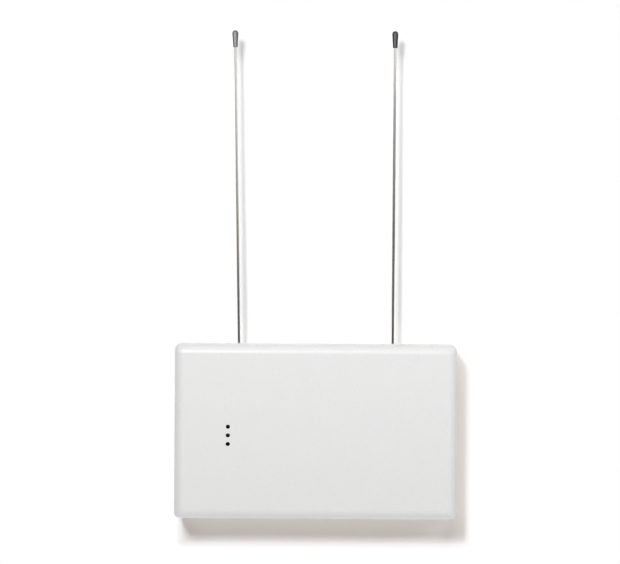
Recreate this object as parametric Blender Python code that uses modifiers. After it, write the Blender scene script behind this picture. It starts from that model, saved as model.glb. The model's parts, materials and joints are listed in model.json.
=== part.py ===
"""Security sensor bridge: a wall-mounted radio receiver in a two-part moulded housing with two whips.

Every piece is modelled on the wall plane, with X to the right, Y up and Z out of the wall.
One empty carries them all and stands the object up, so that Z is up and the front faces -Y.
"""

import math

import bmesh
import bpy
from mathutils import Matrix, Vector

# Housing, two moulded shells that meet at a seam
HOUSING_WIDTH = 0.188
HOUSING_HEIGHT = 0.116
HOUSING_DEPTH = 0.036
REAR_DEPTH = 0.009
WALL = 0.0022
CORNER_RADIUS = 0.0035
FRONT_FILLET = 0.006
BACK_ROUND = 0.0008
DRAFT = math.radians(0.6)
SEAM_GAP = 0.00035
LIP_THICKNESS = 0.001
LIP_HEIGHT = 0.0022
RIB_THICKNESS = 0.0012
COVER_RIB_HEIGHT = 0.003
COVER_RIB_END_INSET = 0.012
COVER_RIB_CLEARANCE = 0.0048
REAR_RIB_HEIGHT = 0.002
REAR_RIB_END_GAP = 0.0022
REAR_RIB_CLEARANCE = 0.0088

# Clearances and joins
SEAT_GAP = 0.0003
EMBED = 0.0005
OVERRUN = 0.002
MERGE_DISTANCE = 0.00001
NUDGE = 0.00001

# Wall fixings and the wire entry in the rear shell
KEYHOLE_SIDE_INSET = 0.034
KEYHOLE_TOP_INSET = 0.025
KEYHOLE_RADIUS = 0.004
KEYHOLE_SLOT_RADIUS = 0.0021
KEYHOLE_TRAVEL = 0.008
SCREW_HOLE_SIDE_INSET = 0.024
SCREW_HOLE_BOTTOM_INSET = 0.016
SCREW_HOLE_RADIUS = 0.0023
ENTRY_WIDTH = 0.04
ENTRY_HEIGHT = 0.019
ENTRY_BOTTOM_INSET = 0.01
ENTRY_CORNER = 0.002
ENTRY_RIM = 0.0012
KNOCKOUT_WIDTH = 0.014
KNOCKOUT_SKIN = 0.0008

# Snap hooks, two below and two above
LOWER_HOOK_SPACING = 0.09
UPPER_HOOK_SPACING = 0.04
HOOK_WIDTH = 0.01
HOOK_THICKNESS = 0.0012
HOOK_GAP = 0.0004
HOOK_REACH = 0.0175
BARB_HEIGHT = 0.003
BARB_SLOPE = 0.002
UPPER_BARB_DEPTH = 0.0013
LOWER_BARB_DEPTH = 0.0019
UPPER_POCKET_SKIN = 0.0006

# Whips
WHIP_SPACING = 0.1032
WHIP_DEPTH = 0.016
WHIP_DIAMETER = 0.002
WHIP_REACH = 0.2105
WHIP_CHAMFER = 0.0003
LEFT_FLARE = math.radians(1.01)
RIGHT_FLARE = math.radians(0.13)
TIP_LENGTH = 0.0114
TIP_RADIUS = 0.00205
TIP_NECK_RADIUS = 0.0015
TIP_BARREL = 0.0026
TIP_CROWN = 0.0024
TIP_CLEARANCE = 0.00015
EAR_WIDTH = 0.016
EAR_NOSE = 0.0045
EAR_CORNER = 0.003
EAR_PROUD = 0.0003
EAR_ROOT = 0.001
EAR_CLEARANCE = 0.0005

# Circuit board and what fixes it
BOARD_STANDOFF = 0.0048
BOARD_THICKNESS = 0.0016
BOARD_SIDE_MARGIN = 0.005
BOARD_TOP_MARGIN = 0.0025
BOARD_CORNER = 0.002
WIRING_BAY = 0.032
BOSS_INSET = 0.005
BOSS_RADIUS = 0.00325
BOSS_FLOOR = 0.0008
BOARD_SCREW_LENGTH = 0.0038
BOARD_SCREW_RADIUS = 0.00115
BOARD_SCREW_HEAD_RADIUS = 0.0028
BOARD_SCREW_HEAD_HEIGHT = 0.002
BOARD_HOLE_CLEARANCE = 0.00045
HEAD_ROUND_SHARE = 2 / 3
DRIVE_REACH_SHARE = 3 / 5
SCREW_TIP_SHARE = 1 / 3

# Antenna terminals
TERMINAL_WIDTH = 0.008
TERMINAL_HEIGHT = 0.007
TERMINAL_COVER = 0.0035
TERMINAL_EDGE_INSET = 0.0008
TERMINAL_CLEARANCE = 0.0005
TERMINAL_CHAMFER = 0.0005
ROD_END_INSET = 0.001
CLAMP_SCREW_RADIUS = 0.00125
CLAMP_SCREW_HEAD_RADIUS = 0.0026
CLAMP_SCREW_HEAD_HEIGHT = 0.002

# Status lights: three lamps in one black holder behind three holes
LED_SIDE_INSET = 0.0359
LED_MIDDLE_Y = -0.0024
LED_PITCH = 0.00574
LED_HOLE_RADIUS = 0.00127
LED_COUNT = 3
LED_RADIUS = 0.00145
LED_FLANGE_RADIUS = 0.0016
LED_FLANGE_HEIGHT = 0.0008
LED_HEIGHT = 0.0046
LED_RECESS = 0.0012
LED_LEAD_WIDTH = 0.00045
LED_LEAD_PITCH = 0.0011
HOLDER_WALL = 0.0017
HOLDER_LEAD_BORE = 0.0012
COLLAR_WALL = 0.0012
COLLAR_HEIGHT = 0.0025

# Radio shield and the network module on its header strips
SHEET = 0.0004
SHIELD_WIDTH = 0.034
SHIELD_LENGTH = 0.027
SHIELD_HEIGHT = 0.0055
SHIELD_ROUND = 0.0006
SHIELD_HOLE_RADIUS = 0.0009
SHIELD_HOLE_PITCH = 0.006
SHIELD_HOLE_COLUMNS = 4
SHIELD_HOLE_ROWS = 2
HEADER_HEIGHT = 0.003
HEADER_WIDTH = 0.0025
HEADER_CHAMFER = 0.0003
MODULE_WIDTH = 0.037
MODULE_LENGTH = 0.025
MODULE_THICKNESS = 0.001
MODULE_CORNER = 0.0012
MODULE_SHIELD_INSET = 0.0035
MODULE_SHIELD_HEIGHT = 0.0032

# Processor
PROCESSOR_SIZE = 0.012
PROCESSOR_THICKNESS = 0.0014
PROCESSOR_CHAMFER = 0.0003
LEAD_COUNT = 7
LEAD_PITCH = 0.0014
LEAD_WIDTH = 0.0005
LEAD_SHEET = 0.00018
LEAD_OUT = 0.0006
LEAD_FOOT = 0.0007

# Crystal, voltage regulator, coil and capacitors
CRYSTAL_LENGTH = 0.011
CRYSTAL_WIDTH = 0.0045
CRYSTAL_HEIGHT = 0.0035
CRYSTAL_FLANGE = 0.0004
REGULATOR_WIDTH = 0.0101
REGULATOR_BODY_LENGTH = 0.009
REGULATOR_BODY_HEIGHT = 0.0044
REGULATOR_TAB_LENGTH = 0.0065
REGULATOR_TAB_THICKNESS = 0.0013
REGULATOR_TAB_HOLE = 0.0018
REGULATOR_HOLE_PLACE = 0.0039
REGULATOR_CHAMFER = 0.0005
REGULATOR_LEAD_LENGTH = 0.005
REGULATOR_LEAD_WIDTH = 0.0009
REGULATOR_LEAD_THICKNESS = 0.0005
REGULATOR_LEAD_PITCH = 0.00254
COIL_RADIUS = 0.005
COIL_HEIGHT = 0.006
COIL_FLANGE = 0.0011
COIL_WAIST = 0.0011
CAPACITOR_SIZES = ((0.005, 0.0125), (0.004, 0.0115), (0.00315, 0.011))
CAPACITOR_RIM = 0.0004
CAPACITOR_GROOVE = 0.0004
CAPACITOR_GROOVE_HEIGHT = 0.0018

# Wiring terminal block
BLOCK_WAYS = 4
BLOCK_PITCH = 0.00508
BLOCK_HEIGHT = 0.009
BLOCK_DEPTH = 0.0098
BLOCK_END = 0.0003
BLOCK_EDGE_INSET = 0.0008
BLOCK_CHAMFER = 0.0016
WELL_RADIUS = 0.0021
WELL_DEPTH = 0.0035
WIRE_HOLE = 0.0034
WIRE_HOLE_DEPTH = 0.0055
WIRE_HOLE_FLOOR = 0.001
BLOCK_SCREW_RADIUS = 0.0018
BLOCK_SCREW_HEIGHT = 0.0018
SCREW_SLOT_WIDTH = 0.0007
SCREW_SLOT_DEPTH = 0.0009

# Places on the board, as shares of its half width and half height from its middle
SHIELD_RISE_SHARE = 0.5
MODULE_RISE_SHARE = 0.45
PROCESSOR_PLACE_SHARES = (-0.092, -0.36)
CRYSTAL_PLACE_SHARES = (0.15, -0.36)
REGULATOR_PLACE_SHARES = (0.74, -0.5)
COIL_PLACE_SHARES = (0.76, 0.12)
CAPACITOR_PLACES_SHARES = ((0.52, -0.64), (0.52, -0.2), (0.36, -0.64))

# Facets and shading
SHARP_ANGLE = math.radians(35)
SHELL_SEGMENTS = 6
TURNED_STEPS = 20
ROD_STEPS = 12
HOLE_SEGMENTS = 16
SMALL_HOLE_SEGMENTS = 12
CORNER_SEGMENTS = 3

# Places that follow from the sizes above
HALF_WIDTH = HOUSING_WIDTH / 2
HALF_HEIGHT = HOUSING_HEIGHT / 2
COVER_BACK = REAR_DEPTH + SEAM_GAP
FRONT_INSIDE = HOUSING_DEPTH - WALL
DRAFT_INSET = (HOUSING_DEPTH - COVER_BACK) * math.tan(DRAFT)
LIP_SETBACK = WALL - LIP_THICKNESS
RIM_SKIN = LIP_SETBACK - SEAT_GAP
BOARD_BACK = WALL + BOARD_STANDOFF + SEAT_GAP
BOARD_FRONT = BOARD_BACK + BOARD_THICKNESS
SEAT = BOARD_FRONT + SEAT_GAP
BOARD_HALF_WIDTH = HALF_WIDTH - WALL - BOARD_SIDE_MARGIN
BOARD_TOP = HALF_HEIGHT - WALL - BOARD_TOP_MARGIN
BOARD_BOTTOM = -HALF_HEIGHT + WALL + WIRING_BAY
BOARD_MIDDLE = (BOARD_TOP + BOARD_BOTTOM) / 2
BOARD_HALF_HEIGHT = (BOARD_TOP - BOARD_BOTTOM) / 2
KEYHOLE_X = HALF_WIDTH - KEYHOLE_SIDE_INSET
KEYHOLE_Y = HALF_HEIGHT - KEYHOLE_TOP_INSET
SCREW_HOLE_X = HALF_WIDTH - SCREW_HOLE_SIDE_INSET
SCREW_HOLE_Y = SCREW_HOLE_BOTTOM_INSET - HALF_HEIGHT
ENTRY_Y = ENTRY_BOTTOM_INSET + ENTRY_HEIGHT / 2 - HALF_HEIGHT
LED_X = LED_SIDE_INSET - HALF_WIDTH
TERMINAL_TOP = BOARD_TOP - TERMINAL_EDGE_INSET
TERMINAL_BOTTOM = TERMINAL_TOP - TERMINAL_HEIGHT
TERMINAL_FRONT = WHIP_DEPTH + TERMINAL_COVER
WHIP_RADIUS = WHIP_DIAMETER / 2
BETWEEN_TERMINALS = WHIP_SPACING - TERMINAL_WIDTH
BOARD_SPACING = (BETWEEN_TERMINALS - SHIELD_WIDTH - MODULE_WIDTH) / 3
SHIELD_X = (SHIELD_WIDTH - BETWEEN_TERMINALS) / 2 + BOARD_SPACING
MODULE_X = (BETWEEN_TERMINALS - MODULE_WIDTH) / 2 - BOARD_SPACING
HOLDER_FRONT = FRONT_INSIDE - SEAT_GAP
HOLDER_BORE = LED_FLANGE_RADIUS + SEAT_GAP
HOLDER_HALF_WIDTH = HOLDER_BORE + HOLDER_WALL
HOLDER_HALF_HEIGHT = LED_PITCH * (LED_COUNT - 1) / 2 + HOLDER_HALF_WIDTH
LED_BASE = HOLDER_FRONT - LED_RECESS - LED_HEIGHT
BOSS_HOLE_RADIUS = BOARD_SCREW_RADIUS + SEAT_GAP
BOSS_PLACES = [
    (side * (BOARD_HALF_WIDTH - BOSS_INSET), height)
    for side in (-1, 1)
    for height in (BOARD_BOTTOM + BOSS_INSET, BOARD_TOP - BOSS_INSET)
]

PARTS = "security_sensor_bridge"
TOOLS = "cutters_and_joiners"
ROOT = "bridge_frame"


def clear_scene():
    for obj in list(bpy.data.objects):
        bpy.data.objects.remove(obj, do_unlink=True)


def make_collections():
    for name in (PARTS, TOOLS):
        bpy.context.scene.collection.children.link(bpy.data.collections.new(name))


def make_frame():
    """The empty that turns the wall plane upright."""
    frame = bpy.data.objects.new(ROOT, None)
    frame.rotation_euler = (math.radians(90), 0, 0)
    bpy.data.collections[PARTS].objects.link(frame)


def material(name, colour, roughness, metallic=0.0):
    found = bpy.data.materials.get(name)
    if found:
        return found
    made = bpy.data.materials.new(name)
    made.use_nodes = True
    shader = made.node_tree.nodes["Principled BSDF"]
    shader.inputs["Base Color"].default_value = (*colour, 1.0)
    shader.inputs["Roughness"].default_value = roughness
    shader.inputs["Metallic"].default_value = metallic
    made.diffuse_color = (*colour, 1.0)
    return made


def white_plastic():
    return material("white_housing_plastic", (0.84, 0.84, 0.83), 0.38)


def black_rubber():
    return material("black_tip_rubber", (0.03, 0.03, 0.032), 0.55)


def steel():
    return material("whip_steel", (0.72, 0.7, 0.66), 0.22, 1.0)


def tin():
    return material("tinned_metal", (0.74, 0.75, 0.76), 0.3, 1.0)


def brass():
    return material("terminal_brass", (0.78, 0.62, 0.32), 0.3, 1.0)


def board_green():
    return material("board_laminate", (0.03, 0.16, 0.07), 0.4)


def black_plastic():
    return material("black_component_plastic", (0.025, 0.025, 0.027), 0.5)


def smoky_lens():
    return material("smoky_lamp_lens", (0.1, 0.1, 0.09), 0.15)


def terminal_green():
    return material("terminal_block_plastic", (0.05, 0.3, 0.13), 0.45)


def capacitor_sleeve():
    return material("capacitor_sleeve", (0.04, 0.05, 0.09), 0.35)


def ferrite():
    return material("coil_ferrite", (0.09, 0.085, 0.08), 0.6)


def add_block(bm, low, high):
    """A box between two opposite corners. Returns its vertices."""
    low = Vector(low)
    high = Vector(high)
    matrix = Matrix.Translation((low + high) / 2) @ Matrix.Diagonal((*(high - low), 1))
    return bmesh.ops.create_cube(bm, size=1, matrix=matrix)["verts"]


def edges_along(verts, axis):
    """The edges between these vertices that run along one axis, 0, 1 or 2."""
    found = {edge for vert in verts for edge in vert.link_edges}
    kept = []
    for edge in found:
        run = edge.verts[1].co - edge.verts[0].co
        if abs(run[axis]) > abs(run[axis - 1]) + abs(run[axis - 2]):
            kept.append(edge)
    return kept


def add_rounded_block(bm, low, high, radius, axis=2, segments=CORNER_SEGMENTS):
    """A box whose four edges along one axis are rounded."""
    edges = edges_along(add_block(bm, low, high), axis)
    bmesh.ops.bevel(
        bm, geom=edges, offset=radius, segments=segments, profile=0.5, affect="EDGES"
    )


def add_cylinder(bm, place, radius, low, high, segments=HOLE_SEGMENTS):
    """A round bar along Z, at (x, y), from low to high."""
    matrix = Matrix.Translation((*place, (low + high) / 2))
    return bmesh.ops.create_cone(
        bm, cap_ends=True, segments=segments, radius1=radius, radius2=radius,
        depth=high - low, matrix=matrix,
    )["verts"]


def add_upright_cylinder(bm, x, z, radius, low, high, segments=HOLE_SEGMENTS):
    """A round bar along Y, at (x, z), from low to high."""
    turn = Matrix.Rotation(math.radians(90), 4, "X")
    matrix = Matrix.Translation((x, (low + high) / 2, z)) @ turn
    bmesh.ops.create_cone(
        bm, cap_ends=True, segments=segments, radius1=radius, radius2=radius,
        depth=high - low, matrix=matrix,
    )


def add_stadium(bm, start, end, radius, low, high, segments=HOLE_SEGMENTS):
    """A bar along Z with two round ends, the hull of two round bars."""
    bars = bmesh.new()
    for where in (start, end):
        add_cylinder(bars, where, radius, low, high, segments)
    corners = [bm.verts.new(vert.co) for vert in bars.verts]
    bars.free()
    bmesh.ops.convex_hull(bm, input=corners)
    spare = [vert for vert in corners if not vert.link_faces]
    bmesh.ops.delete(bm, geom=spare, context="VERTS")


def store(name, bm):
    """The bmesh as a mesh, shaded smooth but for its sharp edges."""
    bmesh.ops.recalc_face_normals(bm, faces=bm.faces)
    mesh = bpy.data.meshes.new(name)
    bm.to_mesh(mesh)
    bm.free()
    mesh.shade_smooth()
    mesh.set_sharp_from_angle(angle=SHARP_ANGLE)
    return mesh


def place(name, mesh, collection, location=(0, 0, 0), parent=None):
    obj = bpy.data.objects.new(name, mesh)
    bpy.data.collections[collection].objects.link(obj)
    obj.parent = parent or bpy.data.objects[ROOT]
    obj.location = location
    return obj


def piece(name, mesh, finish, location=(0, 0, 0), parent=None):
    obj = place(name, mesh, PARTS, location, parent)
    mesh.materials.clear()
    mesh.materials.append(finish)
    return obj


def tool(name, mesh, location=(0, 0, 0), parent=None):
    obj = place(name, mesh, TOOLS, location, parent)
    obj.hide_render = True
    obj.display_type = "WIRE"
    return obj


def combine(target, other, operation):
    modifier = target.modifiers.new(other.name, "BOOLEAN")
    modifier.operation = operation
    modifier.object = other


def cut(target, other):
    combine(target, other, "DIFFERENCE")


def join(target, other):
    combine(target, other, "UNION")


def turned(name, profile):
    """A mesh of one outline in X and Z, for a Screw modifier to turn about Z."""
    mesh = bpy.data.meshes.new(name)
    points = [(radius, 0, height) for radius, height in profile]
    mesh.from_pydata(points, [(i, i + 1) for i in range(len(points) - 1)], [])
    return mesh


def turn(obj, steps=TURNED_STEPS):
    modifier = obj.modifiers.new("turn", "SCREW")
    modifier.axis = "Z"
    modifier.angle = math.radians(360)
    modifier.steps = steps
    modifier.render_steps = steps
    modifier.use_merge_vertices = True
    modifier.merge_threshold = MERGE_DISTANCE
    modifier.use_smooth_shade = True
    return obj


def quarter_arc(radius, height, corner, steps):
    """Points from the level top of a rounded edge down to its upright side."""
    points = []
    for i in range(steps + 1):
        angle = math.radians(90) * i / steps
        points.append(
            (radius - corner + corner * math.sin(angle), height - corner + corner * math.cos(angle))
        )
    return points


def settle_shading():
    """Lets the large flat faces lead the shading of what Booleans cut."""
    for obj in bpy.data.collections[PARTS].objects:
        if obj.type == "MESH" and any(item.type == "BOOLEAN" for item in obj.modifiers):
            obj.modifiers.new("shading", "WEIGHTED_NORMAL").keep_sharp = True


def on_board(shares):
    """A place on the board's front, from its shares of the board's half sizes."""
    return (shares[0] * BOARD_HALF_WIDTH, BOARD_MIDDLE + shares[1] * BOARD_HALF_HEIGHT)


def rear_housing():
    """The tray on the wall: floor, walls, lip, bosses, ribs, hooks, ears and all its openings."""
    bm = bmesh.new()
    low = (-HALF_WIDTH, -HALF_HEIGHT, 0)
    high = (HALF_WIDTH, HALF_HEIGHT, REAR_DEPTH + LIP_HEIGHT)
    verts = add_block(bm, low, high)
    bmesh.ops.bevel(
        bm, geom=edges_along(verts, 2), offset=CORNER_RADIUS, segments=SHELL_SEGMENTS,
        profile=0.5, affect="EDGES",
    )
    back = [edge for edge in bm.edges if all(vert.co.z < EMBED for vert in edge.verts)]
    bmesh.ops.bevel(
        bm, geom=back, offset=BACK_ROUND, segments=2, profile=0.5, affect="EDGES"
    )
    tray = piece("rear_housing", store("rear_housing", bm), white_plastic())
    cut(tray, tray_hollow())
    cut(tray, lip_trimmer())
    join(tray, board_bosses())
    join(tray, rear_ribs())
    join(tray, rear_cross_rib())
    join(tray, entry_rim())
    join(tray, hook_arms())
    join(tray, hook_barbs("lower_barbs", -1, LOWER_HOOK_SPACING, LOWER_BARB_DEPTH))
    join(tray, hook_barbs("upper_barbs", 1, UPPER_HOOK_SPACING, UPPER_BARB_DEPTH))
    join(tray, whip_ears())
    cut(tray, round_rear_holes())
    cut(tray, keyhole_slots())
    cut(tray, entry_and_knockout())


def tray_hollow():
    bm = bmesh.new()
    half_width = HALF_WIDTH - WALL
    half_height = HALF_HEIGHT - WALL
    low = (-half_width, -half_height, WALL)
    high = (half_width, half_height, REAR_DEPTH + LIP_HEIGHT + OVERRUN)
    add_rounded_block(bm, low, high, CORNER_RADIUS - WALL)
    return tool("tray_hollow", store("tray_hollow", bm))


def lip_trimmer():
    """A square frame round the outside, which leaves the lip standing above the seam."""
    bm = bmesh.new()
    half_width = HALF_WIDTH + OVERRUN
    half_height = HALF_HEIGHT + OVERRUN
    top = REAR_DEPTH + LIP_HEIGHT + OVERRUN
    add_block(bm, (-half_width, -half_height, REAR_DEPTH), (half_width, half_height, top))
    frame = tool("lip_trimmer", store("lip_trimmer", bm))
    core = bmesh.new()
    half_width = HALF_WIDTH - LIP_SETBACK
    half_height = HALF_HEIGHT - LIP_SETBACK
    low = (-half_width, -half_height, REAR_DEPTH - OVERRUN)
    high = (half_width, half_height, top + OVERRUN)
    add_rounded_block(core, low, high, CORNER_RADIUS - LIP_SETBACK, segments=SHELL_SEGMENTS)
    cut(frame, tool("lip_core", store("lip_core", core)))
    return frame


def board_bosses():
    bm = bmesh.new()
    for where in BOSS_PLACES:
        add_cylinder(bm, where, BOSS_RADIUS, WALL - EMBED, WALL + BOARD_STANDOFF)
    return tool("board_bosses", store("board_bosses", bm))


def rear_ribs():
    """Two upright ribs on the floor, either side of the wire entry."""
    bm = bmesh.new()
    reach = HALF_HEIGHT - WALL - REAR_RIB_END_GAP
    for side in (-1, 1):
        middle = side * (ENTRY_WIDTH / 2 + REAR_RIB_CLEARANCE)
        low = (middle - RIB_THICKNESS / 2, -reach, WALL - EMBED)
        high = (middle + RIB_THICKNESS / 2, reach, WALL + REAR_RIB_HEIGHT)
        add_block(bm, low, high)
    return tool("rear_ribs", store("rear_ribs", bm))


def rear_cross_rib():
    bm = bmesh.new()
    reach = HALF_WIDTH - WALL - REAR_RIB_END_GAP
    low = (-reach, -RIB_THICKNESS / 2, WALL - EMBED)
    high = (reach, RIB_THICKNESS / 2, WALL + REAR_RIB_HEIGHT)
    add_block(bm, low, high)
    return tool("rear_cross_rib", store("rear_cross_rib", bm))


def entry_rim():
    bm = bmesh.new()
    half_width = ENTRY_WIDTH / 2 + ENTRY_RIM
    half_height = ENTRY_HEIGHT / 2 + ENTRY_RIM
    low = (-half_width, ENTRY_Y - half_height, WALL - EMBED)
    high = (half_width, ENTRY_Y + half_height, WALL + REAR_RIB_HEIGHT)
    add_rounded_block(bm, low, high, ENTRY_CORNER + ENTRY_RIM)
    return tool("entry_rim", store("entry_rim", bm))


def hook_faces(side):
    """The outer and inner face of the hook arms on the top (1) or bottom (-1) wall."""
    outer = side * (HALF_HEIGHT - WALL - HOOK_GAP - DRAFT_INSET)
    return outer, outer - side * HOOK_THICKNESS


def hook_arms():
    bm = bmesh.new()
    for side, spacing in ((-1, LOWER_HOOK_SPACING), (1, UPPER_HOOK_SPACING)):
        faces = sorted(hook_faces(side))
        for end in (-1, 1):
            middle = end * spacing / 2
            low = (middle - HOOK_WIDTH / 2, faces[0], WALL - EMBED)
            high = (middle + HOOK_WIDTH / 2, faces[1], HOOK_REACH)
            add_block(bm, low, high)
    return tool("hook_arms", store("hook_arms", bm))


def hook_barbs(name, side, spacing, depth):
    """Wedges on the hook arms: square behind, sloped in front to ride over the cover's edge."""
    bm = bmesh.new()
    root = hook_faces(side)[0]
    for end in (-1, 1):
        middle = end * spacing / 2
        span = sorted((root - side * HOOK_THICKNESS / 2, root + side * depth))
        low = (middle - HOOK_WIDTH / 2, span[0], HOOK_REACH - BARB_HEIGHT)
        high = (middle + HOOK_WIDTH / 2, span[1], HOOK_REACH)
        for vert in add_block(bm, low, high):
            outside = side * vert.co.y > side * root
            if outside and vert.co.z > HOOK_REACH - BARB_HEIGHT / 2:
                vert.co.z -= BARB_SLOPE
    return tool(name, store(name, bm))


def whip_ears():
    """Ears of the tray that stand up through the cover's notches and guide the whips."""
    bm = bmesh.new()
    for side in (-1, 1):
        middle = side * WHIP_SPACING / 2
        low = (middle - EAR_WIDTH / 2, HALF_HEIGHT - WALL - EAR_PROUD, REAR_DEPTH - EAR_ROOT)
        high = (middle + EAR_WIDTH / 2, HALF_HEIGHT + EAR_PROUD, WHIP_DEPTH + EAR_NOSE)
        edges = [
            edge
            for edge in edges_along(add_block(bm, low, high), 1)
            if edge.verts[0].co.z > WHIP_DEPTH
        ]
        bmesh.ops.bevel(
            bm, geom=edges, offset=EAR_CORNER, segments=CORNER_SEGMENTS, profile=0.5,
            affect="EDGES",
        )
    return tool("whip_ears", store("whip_ears", bm))


def round_rear_holes():
    """Keyhole mouths, lower screw holes, boss holes and the whips' holes in the ears."""
    bm = bmesh.new()
    for side in (-1, 1):
        mouth = (side * KEYHOLE_X, KEYHOLE_Y)
        add_cylinder(bm, mouth, KEYHOLE_RADIUS, -OVERRUN, WALL + REAR_RIB_HEIGHT + OVERRUN)
        hole = (side * SCREW_HOLE_X, SCREW_HOLE_Y)
        add_cylinder(bm, hole, SCREW_HOLE_RADIUS, -OVERRUN, WALL + OVERRUN)
        add_upright_cylinder(
            bm, side * WHIP_SPACING / 2, WHIP_DEPTH, WHIP_RADIUS + EAR_CLEARANCE,
            HALF_HEIGHT - WALL - OVERRUN, HALF_HEIGHT + OVERRUN,
        )
    for where in BOSS_PLACES:
        add_cylinder(
            bm, where, BOSS_HOLE_RADIUS, WALL + BOSS_FLOOR, WALL + BOARD_STANDOFF + OVERRUN,
            SMALL_HOLE_SEGMENTS,
        )
    return tool("round_rear_holes", store("round_rear_holes", bm))


def keyhole_slots():
    bm = bmesh.new()
    for side in (-1, 1):
        x = side * KEYHOLE_X
        half = KEYHOLE_SLOT_RADIUS
        low = (x - half, KEYHOLE_Y, -OVERRUN)
        high = (x + half, KEYHOLE_Y + KEYHOLE_TRAVEL + half, WALL + OVERRUN)
        edges = [
            edge
            for edge in edges_along(add_block(bm, low, high), 2)
            if edge.verts[0].co.y > KEYHOLE_Y + half
        ]
        bmesh.ops.bevel(
            bm, geom=edges, offset=half - NUDGE, segments=CORNER_SEGMENTS * 2,
            profile=0.5, affect="EDGES",
        )
    return tool("keyhole_slots", store("keyhole_slots", bm))


def entry_and_knockout():
    """The wire entry in the floor, and a thin place in the bottom wall for surface wiring."""
    bm = bmesh.new()
    low = (-ENTRY_WIDTH / 2, ENTRY_Y - ENTRY_HEIGHT / 2, -OVERRUN)
    high = (ENTRY_WIDTH / 2, ENTRY_Y + ENTRY_HEIGHT / 2, WALL + REAR_RIB_HEIGHT + OVERRUN)
    add_rounded_block(bm, low, high, ENTRY_CORNER)
    inner = -HALF_HEIGHT + WALL
    low = (-KNOCKOUT_WIDTH / 2, inner - WALL + KNOCKOUT_SKIN, WALL + ENTRY_RIM)
    high = (KNOCKOUT_WIDTH / 2, inner + EMBED, REAR_DEPTH - ENTRY_RIM)
    add_block(bm, low, high)
    return tool("entry_and_knockout", store("entry_and_knockout", bm))


def front_cover():
    """The moulded cover: a drafted open box, filleted in front, walled, then ribbed and pierced."""
    bm = bmesh.new()
    low = (-HALF_WIDTH, -HALF_HEIGHT, COVER_BACK)
    high = (HALF_WIDTH, HALF_HEIGHT, HOUSING_DEPTH)
    halfway = (COVER_BACK + HOUSING_DEPTH) / 2
    for vert in add_block(bm, low, high):
        if vert.co.z > halfway:
            vert.co.x -= math.copysign(DRAFT_INSET, vert.co.x)
            vert.co.y -= math.copysign(DRAFT_INSET, vert.co.y)
    largest = max(FRONT_FILLET, CORNER_RADIUS)
    weight = bm.edges.layers.float.new("bevel_weight_edge")
    for edge in bm.edges:
        heights = sorted(vert.co.z for vert in edge.verts)
        if heights[0] > halfway:
            edge[weight] = FRONT_FILLET / largest
        elif heights[1] > halfway:
            edge[weight] = CORNER_RADIUS / largest
    back = [face for face in bm.faces if all(vert.co.z < halfway for vert in face.verts)]
    bmesh.ops.delete(bm, geom=back, context="FACES_ONLY")
    cover = piece("front_cover", store("front_cover", bm), white_plastic())
    rounding = cover.modifiers.new("edges", "BEVEL")
    rounding.limit_method = "WEIGHT"
    rounding.width = largest
    rounding.segments = SHELL_SEGMENTS
    wall = cover.modifiers.new("wall", "SOLIDIFY")
    wall.thickness = WALL
    wall.offset = -1
    wall.use_even_offset = True
    wall.use_quality_normals = True
    join(cover, cover_ribs())
    join(cover, lamp_collar())
    cut(cover, rim_rebate())
    cut(cover, ear_notches())
    cut(cover, hook_windows())
    cut(cover, lamp_pocket())
    cut(cover, lamp_holes())


def cover_ribs():
    """Two stiffening ribs across the inside of the face, above and below the lamps."""
    bm = bmesh.new()
    half = HALF_WIDTH - COVER_RIB_END_INSET
    away = HOLDER_HALF_HEIGHT + COVER_RIB_CLEARANCE
    for middle in (LED_MIDDLE_Y - away, LED_MIDDLE_Y + away):
        low = (-half, middle - RIB_THICKNESS / 2, FRONT_INSIDE - COVER_RIB_HEIGHT)
        high = (half, middle + RIB_THICKNESS / 2, FRONT_INSIDE + EMBED)
        add_block(bm, low, high)
    return tool("cover_ribs", store("cover_ribs", bm))


def lamp_collar():
    bm = bmesh.new()
    half_width = HOLDER_HALF_WIDTH + SEAT_GAP + COLLAR_WALL
    half_height = HOLDER_HALF_HEIGHT + SEAT_GAP + COLLAR_WALL
    low = (LED_X - half_width, LED_MIDDLE_Y - half_height, FRONT_INSIDE - COLLAR_HEIGHT)
    high = (LED_X + half_width, LED_MIDDLE_Y + half_height, FRONT_INSIDE + EMBED)
    add_block(bm, low, high)
    return tool("lamp_collar", store("lamp_collar", bm))


def lamp_pocket():
    bm = bmesh.new()
    half_width = HOLDER_HALF_WIDTH + SEAT_GAP
    half_height = HOLDER_HALF_HEIGHT + SEAT_GAP
    low = (LED_X - half_width, LED_MIDDLE_Y - half_height, FRONT_INSIDE - COLLAR_HEIGHT - OVERRUN)
    high = (LED_X + half_width, LED_MIDDLE_Y + half_height, FRONT_INSIDE)
    add_block(bm, low, high)
    return tool("lamp_pocket", store("lamp_pocket", bm))


def lamp_places():
    """The (x, y) of each status light, from the top one down."""
    top = LED_MIDDLE_Y + LED_PITCH * (LED_COUNT - 1) / 2
    return [(LED_X, top - LED_PITCH * i) for i in range(LED_COUNT)]


def lamp_holes():
    bm = bmesh.new()
    for where in lamp_places():
        add_cylinder(bm, where, LED_HOLE_RADIUS, FRONT_INSIDE - OVERRUN, HOUSING_DEPTH + OVERRUN)
    return tool("lamp_holes", store("lamp_holes", bm))


def rim_rebate():
    """The step inside the cover's rim that takes the tray's lip."""
    bm = bmesh.new()
    half_width = HALF_WIDTH - RIM_SKIN
    half_height = HALF_HEIGHT - RIM_SKIN
    low = (-half_width, -half_height, REAR_DEPTH - OVERRUN)
    high = (half_width, half_height, REAR_DEPTH + LIP_HEIGHT + SEAT_GAP)
    add_rounded_block(bm, low, high, CORNER_RADIUS - RIM_SKIN, segments=SHELL_SEGMENTS)
    return tool("rim_rebate", store("rim_rebate", bm))


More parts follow.
